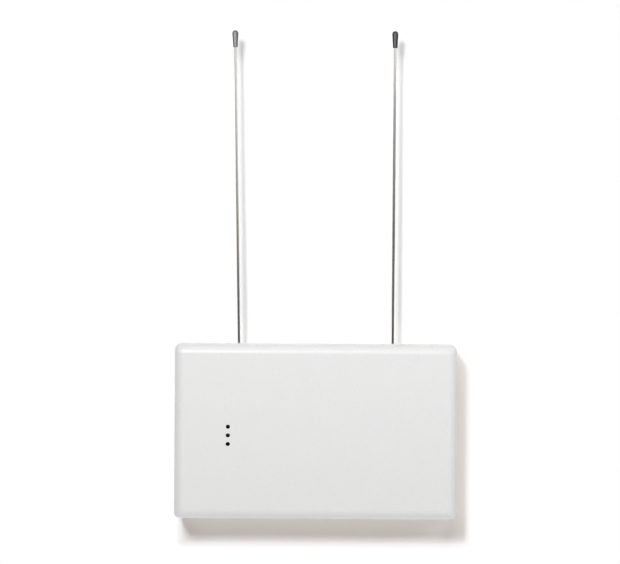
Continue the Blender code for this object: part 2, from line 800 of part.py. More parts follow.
def ear_notches():
    bm = bmesh.new()
    for side in (-1, 1):
        middle = side * WHIP_SPACING / 2
        half = EAR_WIDTH / 2 + SEAT_GAP
        floor = HALF_HEIGHT - WALL - EAR_PROUD - SEAT_GAP - DRAFT_INSET
        low = (middle - half, floor, REAR_DEPTH - OVERRUN)
        high = (middle + half, HALF_HEIGHT + OVERRUN, WHIP_DEPTH + EAR_NOSE + SEAT_GAP)
        edges = [
            edge
            for edge in edges_along(add_block(bm, low, high), 1)
            if edge.verts[0].co.z > WHIP_DEPTH
        ]
        bmesh.ops.bevel(
            bm, geom=edges, offset=EAR_CORNER, segments=CORNER_SEGMENTS, profile=0.5,
            affect="EDGES",
        )
    return tool("ear_notches", store("ear_notches", bm))


def hook_windows():
    """Through windows for the lower barbs, and blind pockets for the upper ones."""
    bm = bmesh.new()
    for side, spacing, depth in (
        (-1, LOWER_HOOK_SPACING, WALL + OVERRUN),
        (1, UPPER_HOOK_SPACING, WALL - UPPER_POCKET_SKIN - DRAFT_INSET),
    ):
        inner = side * (HALF_HEIGHT - WALL)
        span = sorted((inner - side * OVERRUN, inner + side * depth))
        for end in (-1, 1):
            middle = end * spacing / 2
            half = HOOK_WIDTH / 2 + SEAT_GAP
            low = (middle - half, span[0], HOOK_REACH - BARB_HEIGHT - SEAT_GAP)
            high = (middle + half, span[1], HOOK_REACH + SEAT_GAP)
            add_block(bm, low, high)
    return tool("hook_windows", store("hook_windows", bm))


def circuit_board():
    bm = bmesh.new()
    low = (-BOARD_HALF_WIDTH, BOARD_BOTTOM, BOARD_BACK)
    high = (BOARD_HALF_WIDTH, BOARD_TOP, BOARD_FRONT)
    add_rounded_block(bm, low, high, BOARD_CORNER)
    board = piece("circuit_board", store("circuit_board", bm), board_green())
    holes = bmesh.new()
    for where in BOSS_PLACES:
        radius = BOARD_SCREW_RADIUS + BOARD_HOLE_CLEARANCE
        add_cylinder(holes, where, radius, BOARD_BACK - OVERRUN, BOARD_FRONT + OVERRUN)
    cut(board, tool("board_holes", store("board_holes", holes)))


def screw_profile(head_radius, head_height, shank_radius, length):
    """A pan-head screw, with the underside of its head at height zero."""
    top = quarter_arc(head_radius, head_height, head_height * HEAD_ROUND_SHARE, CORNER_SEGMENTS)
    tip = shank_radius * SCREW_TIP_SHARE
    return (
        [(0, head_height)]
        + top
        + [(head_radius, 0), (shank_radius, 0), (shank_radius, tip - length)]
        + [(shank_radius - tip, -length), (0, -length)]
    )


def slot_cutter(name, head_radius, head_height, location, parent=None, crossed=False):
    """A straight driver slot across a screw's head, or one arm of a cross."""
    bm = bmesh.new()
    half = head_radius * DRIVE_REACH_SHARE if crossed else head_radius + OVERRUN
    low = (-half, -SCREW_SLOT_WIDTH / 2, head_height - SCREW_SLOT_DEPTH)
    high = (half, SCREW_SLOT_WIDTH / 2, head_height + OVERRUN)
    add_block(bm, low, high)
    return tool(name, store(name, bm), location, parent)


def board_screws():
    profile = screw_profile(
        BOARD_SCREW_HEAD_RADIUS, BOARD_SCREW_HEAD_HEIGHT, BOARD_SCREW_RADIUS,
        BOARD_THICKNESS + BOARD_SCREW_LENGTH,
    )
    for number, where in enumerate(BOSS_PLACES, 1):
        name = f"board_screw_{number}"
        location = (*where, SEAT)
        screw = turn(piece(name, turned(name, profile), tin(), location), HOLE_SEGMENTS)
        for arm in (0, 1):
            cutter = slot_cutter(
                f"{name}_drive_{arm + 1}", BOARD_SCREW_HEAD_RADIUS, BOARD_SCREW_HEAD_HEIGHT,
                location, crossed=True,
            )
            cutter.rotation_euler.z = math.radians(90) * arm
            cut(screw, cutter)


def whip(name, side, flare):
    """One whip: a pivot at the housing's top, the steel rod, its rubber tip and its terminal."""
    pivot = bpy.data.objects.new(f"{name}_pivot", None)
    bpy.data.collections[PARTS].objects.link(pivot)
    pivot.parent = bpy.data.objects[ROOT]
    pivot.location = (side * WHIP_SPACING / 2, HALF_HEIGHT, WHIP_DEPTH)
    pivot.rotation_euler = (math.radians(-90), 0, flare)
    rod_top = WHIP_REACH - TIP_CROWN
    rod_bottom = TERMINAL_BOTTOM + ROD_END_INSET - HALF_HEIGHT
    rod = [
        (0, rod_top),
        (WHIP_RADIUS - WHIP_CHAMFER, rod_top),
        (WHIP_RADIUS, rod_top - WHIP_CHAMFER),
        (WHIP_RADIUS, rod_bottom + WHIP_CHAMFER),
        (WHIP_RADIUS - WHIP_CHAMFER, rod_bottom),
        (0, rod_bottom),
    ]
    turn(piece(f"{name}_rod", turned(f"{name}_rod", rod), steel(), parent=pivot), ROD_STEPS)
    bore = WHIP_RADIUS + TIP_CLEARANCE
    tip = quarter_arc(TIP_RADIUS, WHIP_REACH, TIP_RADIUS, CORNER_SEGMENTS * 2) + [
        (TIP_RADIUS, WHIP_REACH - TIP_BARREL),
        (TIP_NECK_RADIUS, WHIP_REACH - TIP_LENGTH),
        (bore, WHIP_REACH - TIP_LENGTH),
        (bore, rod_top + SEAT_GAP),
        (0, rod_top + SEAT_GAP),
    ]
    turn(piece(f"{name}_tip", turned(f"{name}_tip", tip), black_rubber(), parent=pivot))


def antenna_terminal(name, side):
    """A brass block that takes the whip's foot, clamped by a screw from the front."""
    x = side * WHIP_SPACING / 2
    bm = bmesh.new()
    low = (x - TERMINAL_WIDTH / 2, TERMINAL_BOTTOM, SEAT)
    high = (x + TERMINAL_WIDTH / 2, TERMINAL_TOP, TERMINAL_FRONT)
    add_rounded_block(bm, low, high, TERMINAL_CHAMFER, segments=1)
    block = piece(f"antenna_terminal_{name}", store(f"antenna_terminal_{name}", bm), brass())
    bore = bmesh.new()
    add_upright_cylinder(
        bore, x, WHIP_DEPTH, WHIP_RADIUS + TERMINAL_CLEARANCE,
        TERMINAL_BOTTOM - OVERRUN, TERMINAL_TOP + OVERRUN,
    )
    cut(block, tool(f"terminal_bore_{name}", store(f"terminal_bore_{name}", bore)))
    middle = (TERMINAL_BOTTOM + TERMINAL_TOP) / 2
    tapped = bmesh.new()
    add_cylinder(
        tapped, (x, middle), CLAMP_SCREW_RADIUS + SEAT_GAP, WHIP_DEPTH, TERMINAL_FRONT + OVERRUN
    )
    cut(block, tool(f"terminal_tapping_{name}", store(f"terminal_tapping_{name}", tapped)))
    under_head = TERMINAL_FRONT + SEAT_GAP
    length = under_head - WHIP_DEPTH - WHIP_RADIUS - SEAT_GAP
    profile = screw_profile(
        CLAMP_SCREW_HEAD_RADIUS, CLAMP_SCREW_HEAD_HEIGHT, CLAMP_SCREW_RADIUS, length
    )
    label = f"antenna_screw_{name}"
    location = (x, middle, under_head)
    screw = turn(piece(label, turned(label, profile), tin(), location), HOLE_SEGMENTS)
    cut(screw, slot_cutter(
        f"{label}_slot", CLAMP_SCREW_HEAD_RADIUS, CLAMP_SCREW_HEAD_HEIGHT, location
    ))


def lamp_holder():
    """The black spacer that carries the lamps up to the cover and keeps their light apart."""
    bm = bmesh.new()
    low = (LED_X - HOLDER_HALF_WIDTH, LED_MIDDLE_Y - HOLDER_HALF_HEIGHT, SEAT)
    high = (LED_X + HOLDER_HALF_WIDTH, LED_MIDDLE_Y + HOLDER_HALF_HEIGHT, HOLDER_FRONT)
    add_rounded_block(bm, low, high, HOLDER_WALL, segments=2)
    holder = piece("led_holder", store("led_holder", bm), black_plastic())
    wide = bmesh.new()
    narrow = bmesh.new()
    for where in lamp_places():
        add_cylinder(wide, where, HOLDER_BORE, LED_BASE - SEAT_GAP, HOLDER_FRONT + OVERRUN)
        add_cylinder(
            narrow, where, HOLDER_LEAD_BORE, SEAT - OVERRUN, LED_BASE + EMBED, SMALL_HOLE_SEGMENTS
        )
    cut(holder, tool("lamp_bores", store("lamp_bores", wide)))
    cut(holder, tool("lead_bores", store("lead_bores", narrow)))


def lamps():
    """Round lamps with a flange and two leads down to the board."""
    dome = quarter_arc(LED_RADIUS, LED_HEIGHT, LED_RADIUS, CORNER_SEGMENTS + 1)
    profile = dome + [
        (LED_RADIUS, LED_FLANGE_HEIGHT),
        (LED_FLANGE_RADIUS, LED_FLANGE_HEIGHT),
        (LED_FLANGE_RADIUS, 0),
        (0, 0),
    ]
    for number, where in enumerate(lamp_places(), 1):
        name = f"status_led_{number}"
        location = (*where, LED_BASE)
        lamp = turn(piece(name, turned(name, profile), smoky_lens(), location), HOLE_SEGMENTS)
        leads = bmesh.new()
        half = LED_LEAD_WIDTH / 2
        for side in (-1, 1):
            middle = side * LED_LEAD_PITCH / 2
            low = (middle - half, -half, SEAT - LED_BASE)
            high = (middle + half, half, LED_FLANGE_HEIGHT / 2)
            add_block(leads, low, high)
        join(lamp, tool(f"{name}_leads", store(f"{name}_leads", leads), location))


def open_can(name, size, place_on_board, seat, finish):
    """A folded sheet cover, open towards the board, with its edges rounded."""
    width, height, depth = size
    x, y = place_on_board
    bm = bmesh.new()
    low = (x - width / 2, y - height / 2, seat)
    high = (x + width / 2, y + height / 2, seat + depth)
    add_block(bm, low, high)
    open_side = [face for face in bm.faces if face.calc_center_median().z < seat + EMBED]
    bmesh.ops.delete(bm, geom=open_side, context="FACES_ONLY")
    top = [edge for edge in bm.edges if not edge.is_boundary]
    bmesh.ops.bevel(bm, geom=top, offset=SHIELD_ROUND, segments=2, profile=0.5, affect="EDGES")
    can = piece(name, store(name, bm), finish)
    wall = can.modifiers.new("sheet", "SOLIDIFY")
    wall.thickness = SHEET
    wall.offset = -1
    wall.use_even_offset = True
    return can


def radio_shield():
    where = (SHIELD_X, BOARD_MIDDLE + SHIELD_RISE_SHARE * BOARD_HALF_HEIGHT)
    size = (SHIELD_WIDTH, SHIELD_LENGTH, SHIELD_HEIGHT)
    can = open_can("radio_shield", size, where, SEAT, tin())
    bm = bmesh.new()
    top = SEAT + SHIELD_HEIGHT
    for column in range(SHIELD_HOLE_COLUMNS):
        for row in range(SHIELD_HOLE_ROWS):
            x = where[0] + (column - (SHIELD_HOLE_COLUMNS - 1) / 2) * SHIELD_HOLE_PITCH
            y = where[1] + (row - (SHIELD_HOLE_ROWS - 1) / 2) * SHIELD_HOLE_PITCH
            add_cylinder(
                bm, (x, y), SHIELD_HOLE_RADIUS, top - OVERRUN, top + OVERRUN, SMALL_HOLE_SEGMENTS
            )
    cut(can, tool("shield_holes", store("shield_holes", bm)))


def network_module():
    """A small board on two header strips, with its own shield."""
    x = MODULE_X
    y = BOARD_MIDDLE + MODULE_RISE_SHARE * BOARD_HALF_HEIGHT
    strip_top = SEAT + HEADER_HEIGHT
    for number, side in enumerate((-1, 1), 1):
        middle = x + side * (MODULE_WIDTH / 2 - HEADER_WIDTH)
        name = f"header_strip_{number}"
        bm = bmesh.new()
        low = (middle - HEADER_WIDTH / 2, y - MODULE_LENGTH / 2, SEAT)
        high = (middle + HEADER_WIDTH / 2, y + MODULE_LENGTH / 2, strip_top)
        add_rounded_block(bm, low, high, HEADER_CHAMFER, axis=1, segments=1)
        piece(name, store(name, bm), black_plastic())
    back = strip_top + SEAT_GAP
    front = back + MODULE_THICKNESS
    bm = bmesh.new()
    low = (x - MODULE_WIDTH / 2, y - MODULE_LENGTH / 2, back)
    high = (x + MODULE_WIDTH / 2, y + MODULE_LENGTH / 2, front)
    add_rounded_block(bm, low, high, MODULE_CORNER)
    piece("network_board", store("network_board", bm), board_green())
    size = (
        MODULE_WIDTH - 2 * MODULE_SHIELD_INSET,
        MODULE_LENGTH - 2 * MODULE_SHIELD_INSET,
        MODULE_SHIELD_HEIGHT,
    )
    open_can("network_shield", size, (x, y), front + SEAT_GAP, tin())


def processor():
    """A flat chip with gull-wing leads on its four sides."""
    x, y = on_board(PROCESSOR_PLACE_SHARES)
    half = PROCESSOR_SIZE / 2
    lift = LEAD_SHEET + PROCESSOR_CHAMFER
    bm = bmesh.new()
    add_rounded_block(
        bm, (-half, -half, lift), (half, half, lift + PROCESSOR_THICKNESS),
        PROCESSOR_CHAMFER, segments=1,
    )
    chip = piece("processor_chip", store("processor_chip", bm), black_plastic(), (x, y, SEAT))
    leads = bmesh.new()
    shoulder = lift + PROCESSOR_THICKNESS / 2
    foot = LEAD_SHEET / 2
    course = (
        (half - EMBED, shoulder),
        (half + LEAD_OUT, shoulder),
        (half + LEAD_OUT + LEAD_SHEET, foot),
        (half + LEAD_OUT + LEAD_FOOT, foot),
    )
    for quarter in range(4):
        turned_by = Matrix.Rotation(math.radians(90) * quarter, 4, "Z")
        for number in range(LEAD_COUNT):
            across = (number - (LEAD_COUNT - 1) / 2) * LEAD_PITCH
            add_strip(leads, course, across, LEAD_WIDTH, turned_by)
    comb = tool("processor_leads", store("processor_leads", leads), (x, y, SEAT))
    sheet = comb.modifiers.new("sheet", "SOLIDIFY")
    sheet.thickness = LEAD_SHEET
    sheet.offset = 0
    join(chip, comb)


def add_strip(bm, course, across, width, turned_by):
    """A ribbon along a course in X and Z: one edge swept from point to point."""
    edge = None
    for out, up in course:
        ends = [
            bm.verts.new(turned_by @ Vector((out, across + side * width / 2, up)))
            for side in (-1, 1)
        ]
        following = bm.edges.new(ends)
        if edge:
            bmesh.ops.bridge_loops(bm, edges=[edge, following])
        edge = following


def crystal():
    x, y = on_board(CRYSTAL_PLACE_SHARES)
    reach = (CRYSTAL_LENGTH - CRYSTAL_WIDTH) / 2
    bm = bmesh.new()
    add_stadium(
        bm, (x - reach, y), (x + reach, y), CRYSTAL_WIDTH / 2, SEAT, SEAT + CRYSTAL_HEIGHT
    )
    can = piece("crystal_can", store("crystal_can", bm), tin())
    flange = bmesh.new()
    radius = CRYSTAL_WIDTH / 2 + CRYSTAL_FLANGE
    add_stadium(
        flange, (x - reach, y), (x + reach, y), radius, SEAT - NUDGE, SEAT + CRYSTAL_FLANGE
    )
    join(can, tool("crystal_flange", store("crystal_flange", flange)))


def voltage_regulator():
    """A regulator lying on its back: moulded body, metal tab and three leads."""
    x, y = on_board(REGULATOR_PLACE_SHARES)
    half = REGULATOR_WIDTH / 2
    bm = bmesh.new()
    low = (x - half, y - REGULATOR_BODY_LENGTH / 2, SEAT)
    high = (x + half, y + REGULATOR_BODY_LENGTH / 2, SEAT + REGULATOR_BODY_HEIGHT)
    add_rounded_block(bm, low, high, REGULATOR_CHAMFER, axis=1, segments=1)
    body = piece("voltage_regulator", store("voltage_regulator", bm), black_plastic())
    tab = bmesh.new()
    inner = half - REGULATOR_CHAMFER
    low = (x - inner, high[1] - EMBED, SEAT + NUDGE)
    high = (x + inner, high[1] + REGULATOR_TAB_LENGTH, SEAT + REGULATOR_TAB_THICKNESS)
    add_block(tab, low, high)
    join(body, tool("regulator_tab", store("regulator_tab", tab)))
    leads = bmesh.new()
    start = y - REGULATOR_BODY_LENGTH / 2
    level = SEAT + REGULATOR_BODY_HEIGHT / 2
    for number in (-1, 0, 1):
        middle = x + number * REGULATOR_LEAD_PITCH
        low = (middle - REGULATOR_LEAD_WIDTH / 2, start - REGULATOR_LEAD_LENGTH, SEAT)
        knee = (middle + REGULATOR_LEAD_WIDTH / 2, start + EMBED, level)
        halfway = (SEAT + level) / 2
        for vert in add_block(leads, low, knee):
            if vert.co.y < start and vert.co.z > halfway:
                vert.co.z = SEAT + REGULATOR_LEAD_THICKNESS
            elif vert.co.y > start and vert.co.z < halfway:
                vert.co.z = level - REGULATOR_LEAD_THICKNESS
    join(body, tool("regulator_leads", store("regulator_leads", leads)))
    hole = bmesh.new()
    middle = start + REGULATOR_BODY_LENGTH + REGULATOR_HOLE_PLACE
    add_cylinder(
        hole, (x, middle), REGULATOR_TAB_HOLE, SEAT - OVERRUN,
        SEAT + REGULATOR_TAB_THICKNESS + OVERRUN,
    )
    cut(body, tool("regulator_hole", store("regulator_hole", hole)))


def power_coil():
    """A drum core. Its waist is the outside of the winding."""
    waist = COIL_RADIUS - COIL_WAIST
    profile = [
        (0, COIL_HEIGHT),
        (COIL_RADIUS, COIL_HEIGHT),
        (COIL_RADIUS, COIL_HEIGHT - COIL_FLANGE),
        (waist, COIL_HEIGHT - COIL_FLANGE),
        (waist, COIL_FLANGE),
        (COIL_RADIUS, COIL_FLANGE),
        (COIL_RADIUS, 0),
        (0, 0),
    ]
    location = (*on_board(COIL_PLACE_SHARES), SEAT)
    turn(piece("power_coil", turned("power_coil", profile), ferrite(), location))


def capacitors():
    """Cans with a rounded top and the rolled groove near the foot."""
    for number, (size, shares) in enumerate(zip(CAPACITOR_SIZES, CAPACITOR_PLACES_SHARES), 1):
        radius, height = size
        profile = [(0, height)] + quarter_arc(radius, height, CAPACITOR_RIM, 2) + [
            (radius, CAPACITOR_GROOVE_HEIGHT + CAPACITOR_GROOVE),
            (radius - CAPACITOR_GROOVE, CAPACITOR_GROOVE_HEIGHT),
            (radius, CAPACITOR_GROOVE_HEIGHT - CAPACITOR_GROOVE),
            (radius, 0),
            (0, 0),
        ]
        name = f"capacitor_{number}"
        location = (*on_board(shares), SEAT)
        turn(piece(name, turned(name, profile), capacitor_sleeve(), location))


def terminal_block():
    """The wiring terminals at the board's lower edge, each way with its wire hole and screw."""
    half = BLOCK_WAYS * BLOCK_PITCH / 2 + BLOCK_END
    bottom = BOARD_BOTTOM + BLOCK_EDGE_INSET
    top = bottom + BLOCK_HEIGHT
    front = SEAT + BLOCK_DEPTH
    bm = bmesh.new()
    edges = edges_along(add_block(bm, (-half, bottom, SEAT), (half, top, front)), 0)
    sloped = [
        edge
        for edge in edges
        if edge.verts[0].co.z > SEAT + EMBED and edge.verts[0].co.y < top - EMBED
    ]
    bmesh.ops.bevel(
        bm, geom=sloped, offset=BLOCK_CHAMFER, segments=1, profile=0.5, affect="EDGES"
    )
    block = piece("terminal_block", store("terminal_block", bm), terminal_green())
    wells = bmesh.new()
    mouths = bmesh.new()
    middle = top - WELL_RADIUS - BLOCK_CHAMFER
    floor = front - WELL_DEPTH
    screw = [
        (0, BLOCK_SCREW_HEIGHT),
        (BLOCK_SCREW_RADIUS, BLOCK_SCREW_HEIGHT),
        (BLOCK_SCREW_RADIUS, 0),
        (0, 0),
    ]
    for way in range(BLOCK_WAYS):
        x = (way - (BLOCK_WAYS - 1) / 2) * BLOCK_PITCH
        add_cylinder(wells, (x, middle), WELL_RADIUS, floor, front + OVERRUN)
        low = (x - WIRE_HOLE / 2, bottom - OVERRUN, SEAT + WIRE_HOLE_FLOOR)
        high = (x + WIRE_HOLE / 2, bottom + WIRE_HOLE_DEPTH, SEAT + WIRE_HOLE_FLOOR + WIRE_HOLE)
        add_block(mouths, low, high)
        name = f"terminal_screw_{way + 1}"
        location = (x, middle, floor + SEAT_GAP)
        head = turn(piece(name, turned(name, screw), tin(), location), HOLE_SEGMENTS)
        cut(head, slot_cutter(f"{name}_slot", BLOCK_SCREW_RADIUS, BLOCK_SCREW_HEIGHT, location))
    cut(block, tool("screw_wells", store("screw_wells", wells)))
    cut(block, tool("wire_mouths", store("wire_mouths", mouths)))


def main():
    clear_scene()
    make_collections()
    make_frame()
    rear_housing()
    front_cover()
    circuit_board()
    board_screws()
    whip("whip_left", -1, LEFT_FLARE)
    whip("whip_right", 1, -RIGHT_FLARE)
    antenna_terminal("left", -1)
    antenna_terminal("right", 1)
    lamp_holder()
    lamps()
    radio_shield()
    network_module()
    processor()
    crystal()
    voltage_regulator()
    power_coil()
    capacitors()
    terminal_block()
    settle_shading()


main()
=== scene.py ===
import json
import math

import bmesh
import bpy
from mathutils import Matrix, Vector


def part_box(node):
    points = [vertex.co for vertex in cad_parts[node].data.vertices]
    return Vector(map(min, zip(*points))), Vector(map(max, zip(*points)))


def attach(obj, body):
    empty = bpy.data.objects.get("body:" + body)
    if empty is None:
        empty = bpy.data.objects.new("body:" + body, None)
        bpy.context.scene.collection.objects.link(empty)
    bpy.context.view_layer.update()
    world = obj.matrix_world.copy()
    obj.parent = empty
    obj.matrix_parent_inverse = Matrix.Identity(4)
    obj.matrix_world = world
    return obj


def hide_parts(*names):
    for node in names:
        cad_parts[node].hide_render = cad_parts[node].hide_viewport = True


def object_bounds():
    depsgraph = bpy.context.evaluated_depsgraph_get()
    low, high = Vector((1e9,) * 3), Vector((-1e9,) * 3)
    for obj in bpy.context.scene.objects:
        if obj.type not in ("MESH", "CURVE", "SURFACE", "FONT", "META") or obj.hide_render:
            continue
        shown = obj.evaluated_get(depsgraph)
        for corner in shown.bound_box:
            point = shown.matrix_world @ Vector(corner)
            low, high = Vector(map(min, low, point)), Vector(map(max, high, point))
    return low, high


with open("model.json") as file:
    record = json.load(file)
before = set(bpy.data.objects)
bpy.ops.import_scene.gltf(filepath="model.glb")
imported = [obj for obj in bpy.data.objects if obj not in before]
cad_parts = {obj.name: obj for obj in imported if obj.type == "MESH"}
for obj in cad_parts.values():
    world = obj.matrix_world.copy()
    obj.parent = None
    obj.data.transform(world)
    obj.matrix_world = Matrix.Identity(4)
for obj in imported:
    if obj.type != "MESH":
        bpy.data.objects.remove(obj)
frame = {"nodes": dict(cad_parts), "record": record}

CAD_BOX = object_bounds()

bl_info = {
    "name": "Security sensor bridge",
    "version": (1, 0, 0),
    "blender": (4, 5, 0),
    "location": "3D View > Sidebar > Bridge",
    "description": "Models and finishes a wall-mounted sensor bridge round its packed solids",
    "category": "Object",
}

BODY = "root"
WHITE_SLOT = "housing_white"

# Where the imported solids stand
TRAY_LOW, TRAY_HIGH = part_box("rear_housing")
COVER_LOW, COVER_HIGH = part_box("front_cover")
LAMP_LOW, LAMP_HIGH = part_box("status_led_2")
LAMP_TOP_LOW, LAMP_TOP_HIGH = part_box("status_led_1")
HOLDER_LOW, HOLDER_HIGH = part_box("led_holder")
BOARD_LOW, BOARD_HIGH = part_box("circuit_board")
LEFT_TIP_LOW, LEFT_TIP_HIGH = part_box("whip_left_tip")
RIGHT_TIP_LOW, RIGHT_TIP_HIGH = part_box("whip_right_tip")
LEFT_ROD_LOW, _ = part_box("whip_left_rod")

SIDES = (-1, 1)

# Small distances that cuts and selections need
PAST = 0.002  # how far a cutter reaches past what it cuts
ROOT = 0.0005  # how deep a rib or a boss is set into its wall
HAIR = 0.00001  # a step too small to see
MERGE = 0.000002  # points nearer than this become one

# Fittings of the shells
COVER_RIB_END = 0.012  # ends of the cover's ribs, from its sides
COVER_RIB_AWAY = 0.0048  # cover's ribs, from the lamp holder
TRAY_RIB_END = 0.0022  # ends of the tray's ribs, from its walls
TRAY_RIB_AWAY = 0.0088  # upright ribs, from the wire entry
EAR_ROOT = 0.001  # how far the ears reach behind the seam
HOOK_GAP = 0.0004  # between cover and hooks
BARB_SLOPE = 0.002
POCKET_SKIN = 0.0006  # cover's wall left outside the upper barbs
SLOT_FOOT = 0.005  # square foot of a keyhole's slot
SLOT_CORNER = 0.002099  # just under half the slot's width
WHIP_HOLE_GAP = 0.0005
BOSS_HOLE_LOW, BOSS_HOLE_HIGH = 0.0008, 0.007  # above the tray's floor
KNOCKOUT_HALF = 0.007  # the thin place in the bottom wall
KNOCKOUT_EDGE, KNOCKOUT_SKIN = 0.0012, 0.0008  # its distance from floor and seam, its wall

# Whips; the pairs are a radius, or a share of one, and a height
ROD_SHORT = 0.0024  # rod's end below the tip's
ROD_CHAMFER, ROD_RINGS = 0.0003, 24
BORE_GAP = 0.00015
BORE_END = ((0.97, 0.0003), (1, 0.0002))
MOUTH_STEPS = (
    (-0.0002, 0), (-0.00002, 0.00016), (0.00008, 0.0005), (0.00003, 0.0009), (0.00006, 0.0012),
)
TIP_POLE = 0.00006  # ring that closes the tip

# Status lamps
LAMP_LENGTH = 0.0046  # with the flange
FLANGE_THICKNESS, FLANGE_EDGE = 0.0008, 0.00015
LEAD_HALF, LEAD_AWAY = 0.000225, 0.00055
LAMP_POLE = 0.00004  # ring that closes the lamp

# Patterns of the finishes, with a painted highlight on the tips
FINE_GRAIN = (4.0, 0.6)  # detail and roughness of the fine noise
ROD_DARKENING = {"left": 0.0, "right": 0.75}  # how much darker each rod's colour is halfway up
DARKENING_FROM, DARKENING_TO = (0.085, 0.13), (0.215, 0.247)  # heights where that darkening comes and goes
BLOOM_AND_HIGHLIGHT = {"left": (0.36, 1.0), "right": (0.0, 0.34)}  # least and most grey of each tip: bloom of age on the left, and a painted highlight
HIGHLIGHT_SIDE, HIGHLIGHT_EDGE = (-0.12, -0.993, 0), (0.885, 0.975)  # the side painted lighter as a highlight, facing the main light, and where it ends

# The wall: the rectangle that holds the shadows, and where its painted shade and painted glow turn
SHADOW_LEFT = 0.005  # inwards from the housing's left side
SHADOW_RIGHT, SHADOW_BELOW, SHADOW_ABOVE = 0.007, 0.018, 0.01
SHADOW_FADE = 0.005
TIP_SHADE_TURN, GLOW_TURN = (-0.022, 0.004), (-0.01, 0.02)  # from the tips, from the top

# Where the room's bands, as bright metal mirrors them, begin and end
SHINE_RISE, SHINE_BACK, SHINE_LEFT = (-0.006, 0.095), (-0.4, 0.1), (-0.8, 0.0)


def length(name, text, default):
    return bpy.props.FloatProperty(
        name=name, description=text, default=default, min=0, precision=5, unit="LENGTH"
    )


def angle(name, text, degrees):
    return bpy.props.FloatProperty(
        name=name, description=text, default=math.radians(degrees), subtype="ANGLE"
    )


def level(name, text, default):
    return bpy.props.FloatProperty(name=name, description=text, default=default, min=0)


def count(name, text, default):
    return bpy.props.IntProperty(name=name, description=text, default=default, min=1)


def colour(name, text, default):
    return bpy.props.FloatVectorProperty(
        name=name, description=text, default=default, size=3, min=0, max=1, subtype="COLOR"
    )


def place(name, text, default):
    return bpy.props.FloatVectorProperty(
        name=name, description=text, default=default, size=3, subtype="XYZ", unit="LENGTH"
    )


class BridgeHousingSizes(bpy.types.PropertyGroup):
    """Sizes of the two moulded shells and of their fittings."""

    width: length("Width", "Width of the housing", TRAY_HIGH.x - TRAY_LOW.x)
    height: length("Height", "Height of the housing", COVER_HIGH.z - COVER_LOW.z)
    depth: length("Depth", "Depth from the wall to the front face", -COVER_LOW.y)
    rear_depth: length("Tray depth", "Depth of the tray on the wall", 0.009)
    wall: length("Wall", "Thickness of the moulded walls", 0.0022)
    corner: length("Corner", "Radius of the four upright corners", 0.0035)
    fillet: length("Front fillet", "Radius of the front edge", 0.006)
    back_round: length("Back round", "Radius of the edge on the wall", 0.0008)
    draft: angle("Draft", "Taper of the cover's sides", 0.6)
    seam: length("Seam", "Gap between cover and tray", 0.00035)
    edge: length("Edge", "Small rounding of the moulded rims", 0.00015)
    lip: length("Lip", "Thickness of the tray's lip", 0.001)
    lip_height: length("Lip height", "Height of the lip above the seam", 0.0022)
    rib: length("Rib", "Thickness of the ribs", 0.0012)
    rear_rib: length("Tray rib height", "Height of the ribs on the tray's floor", 0.002)
    cover_rib: length("Cover rib height", "Height of the ribs behind the face", 0.003)
    gap: length("Seat gap", "Gap between pieces that touch", 0.0003)
    steps: count("Steps", "Segments of the large roundings", 16)
    collar: length("Collar", "Thickness of the collar round the lamp holder", 0.0012)
    collar_height: length("Collar height", "Height of the collar behind the face", 0.0025)
    boss: length("Boss", "Radius of the board's bosses", 0.00325)
    boss_height: length("Boss height", "Height of the board's bosses", 0.0048)
    boss_inset: length("Boss inset", "Distance of the bosses from the board's edges", 0.005)
    boss_hole: length("Boss hole", "Radius of the holes in the bosses", 0.00145)
    hook_width: length("Hook width", "Width of the snap hooks", 0.01)
    hook_reach: length("Hook reach", "Distance from the wall to the hooks' ends", 0.0175)
    lower_hooks: length("Lower hooks", "Distance between the lower hooks", 0.09)
    upper_hooks: length("Upper hooks", "Distance between the upper hooks", 0.04)
    lower_barb: length("Lower barb", "Depth of the lower hooks' barbs", 0.0019)
    upper_barb: length("Upper barb", "Depth of the upper hooks' barbs", 0.0013)
    barb_height: length("Barb height", "Height of the barbs", 0.003)
    keyholes: length("Keyholes", "Distance between the keyholes", 0.12)
    keyhole_drop: length("Keyhole drop", "Distance of the keyholes below the top", 0.025)
    mouth: length("Keyhole mouth", "Radius of a keyhole's mouth", 0.004)
    slot: length("Keyhole slot", "Half the width of a keyhole's slot", 0.0021)
    slot_length: length("Slot length", "Reach of the slot above the mouth's middle", 0.0101)
    screws: length("Screw holes", "Distance between the screw holes", 0.14)
    screw_rise: length("Screw rise", "Distance of the screw holes above the bottom", 0.016)
    screw_hole: length("Screw hole", "Radius of the screw holes", 0.0023)
    entry_width: length("Entry width", "Width of the wire entry", 0.04)
    entry_height: length("Entry height", "Height of the wire entry", 0.019)
    entry_drop: length("Entry drop", "Distance of the wire entry below the middle", 0.0385)
    entry_corner: length("Entry corner", "Radius of the wire entry's corners", 0.002)


class BridgeWhipSizes(bpy.types.PropertyGroup):
    """Sizes of the whips and of the ears that guide them."""

    spacing: length("Spacing", "Distance between the whips at the housing's top", 0.1032)
    depth: length("Depth", "Distance of the whips from the wall", 0.016)
    rod: length("Rod", "Radius of the steel rod", 0.001)
    tip: length("Tip", "Largest radius of the rubber tip", 0.00205)
    neck: length("Neck", "Radius of the tip at its mouth", 0.0015)
    tip_length: length("Tip length", "Length of the rubber tip", 0.0114)
    barrel: length("Barrel", "Length of the tip above its taper", 0.0026)
    ear_width: length("Ear width", "Width of the ears", 0.016)
    ear_nose: length("Ear nose", "Reach of the ears in front of the whips", 0.0045)
    ear_corner: length("Ear corner", "Radius of the ears' front corners", 0.003)
    ear_proud: length("Ear proud", "Height of the ears above the housing", 0.0003)
    steps: count("Steps", "Sides of the round pieces", 48)


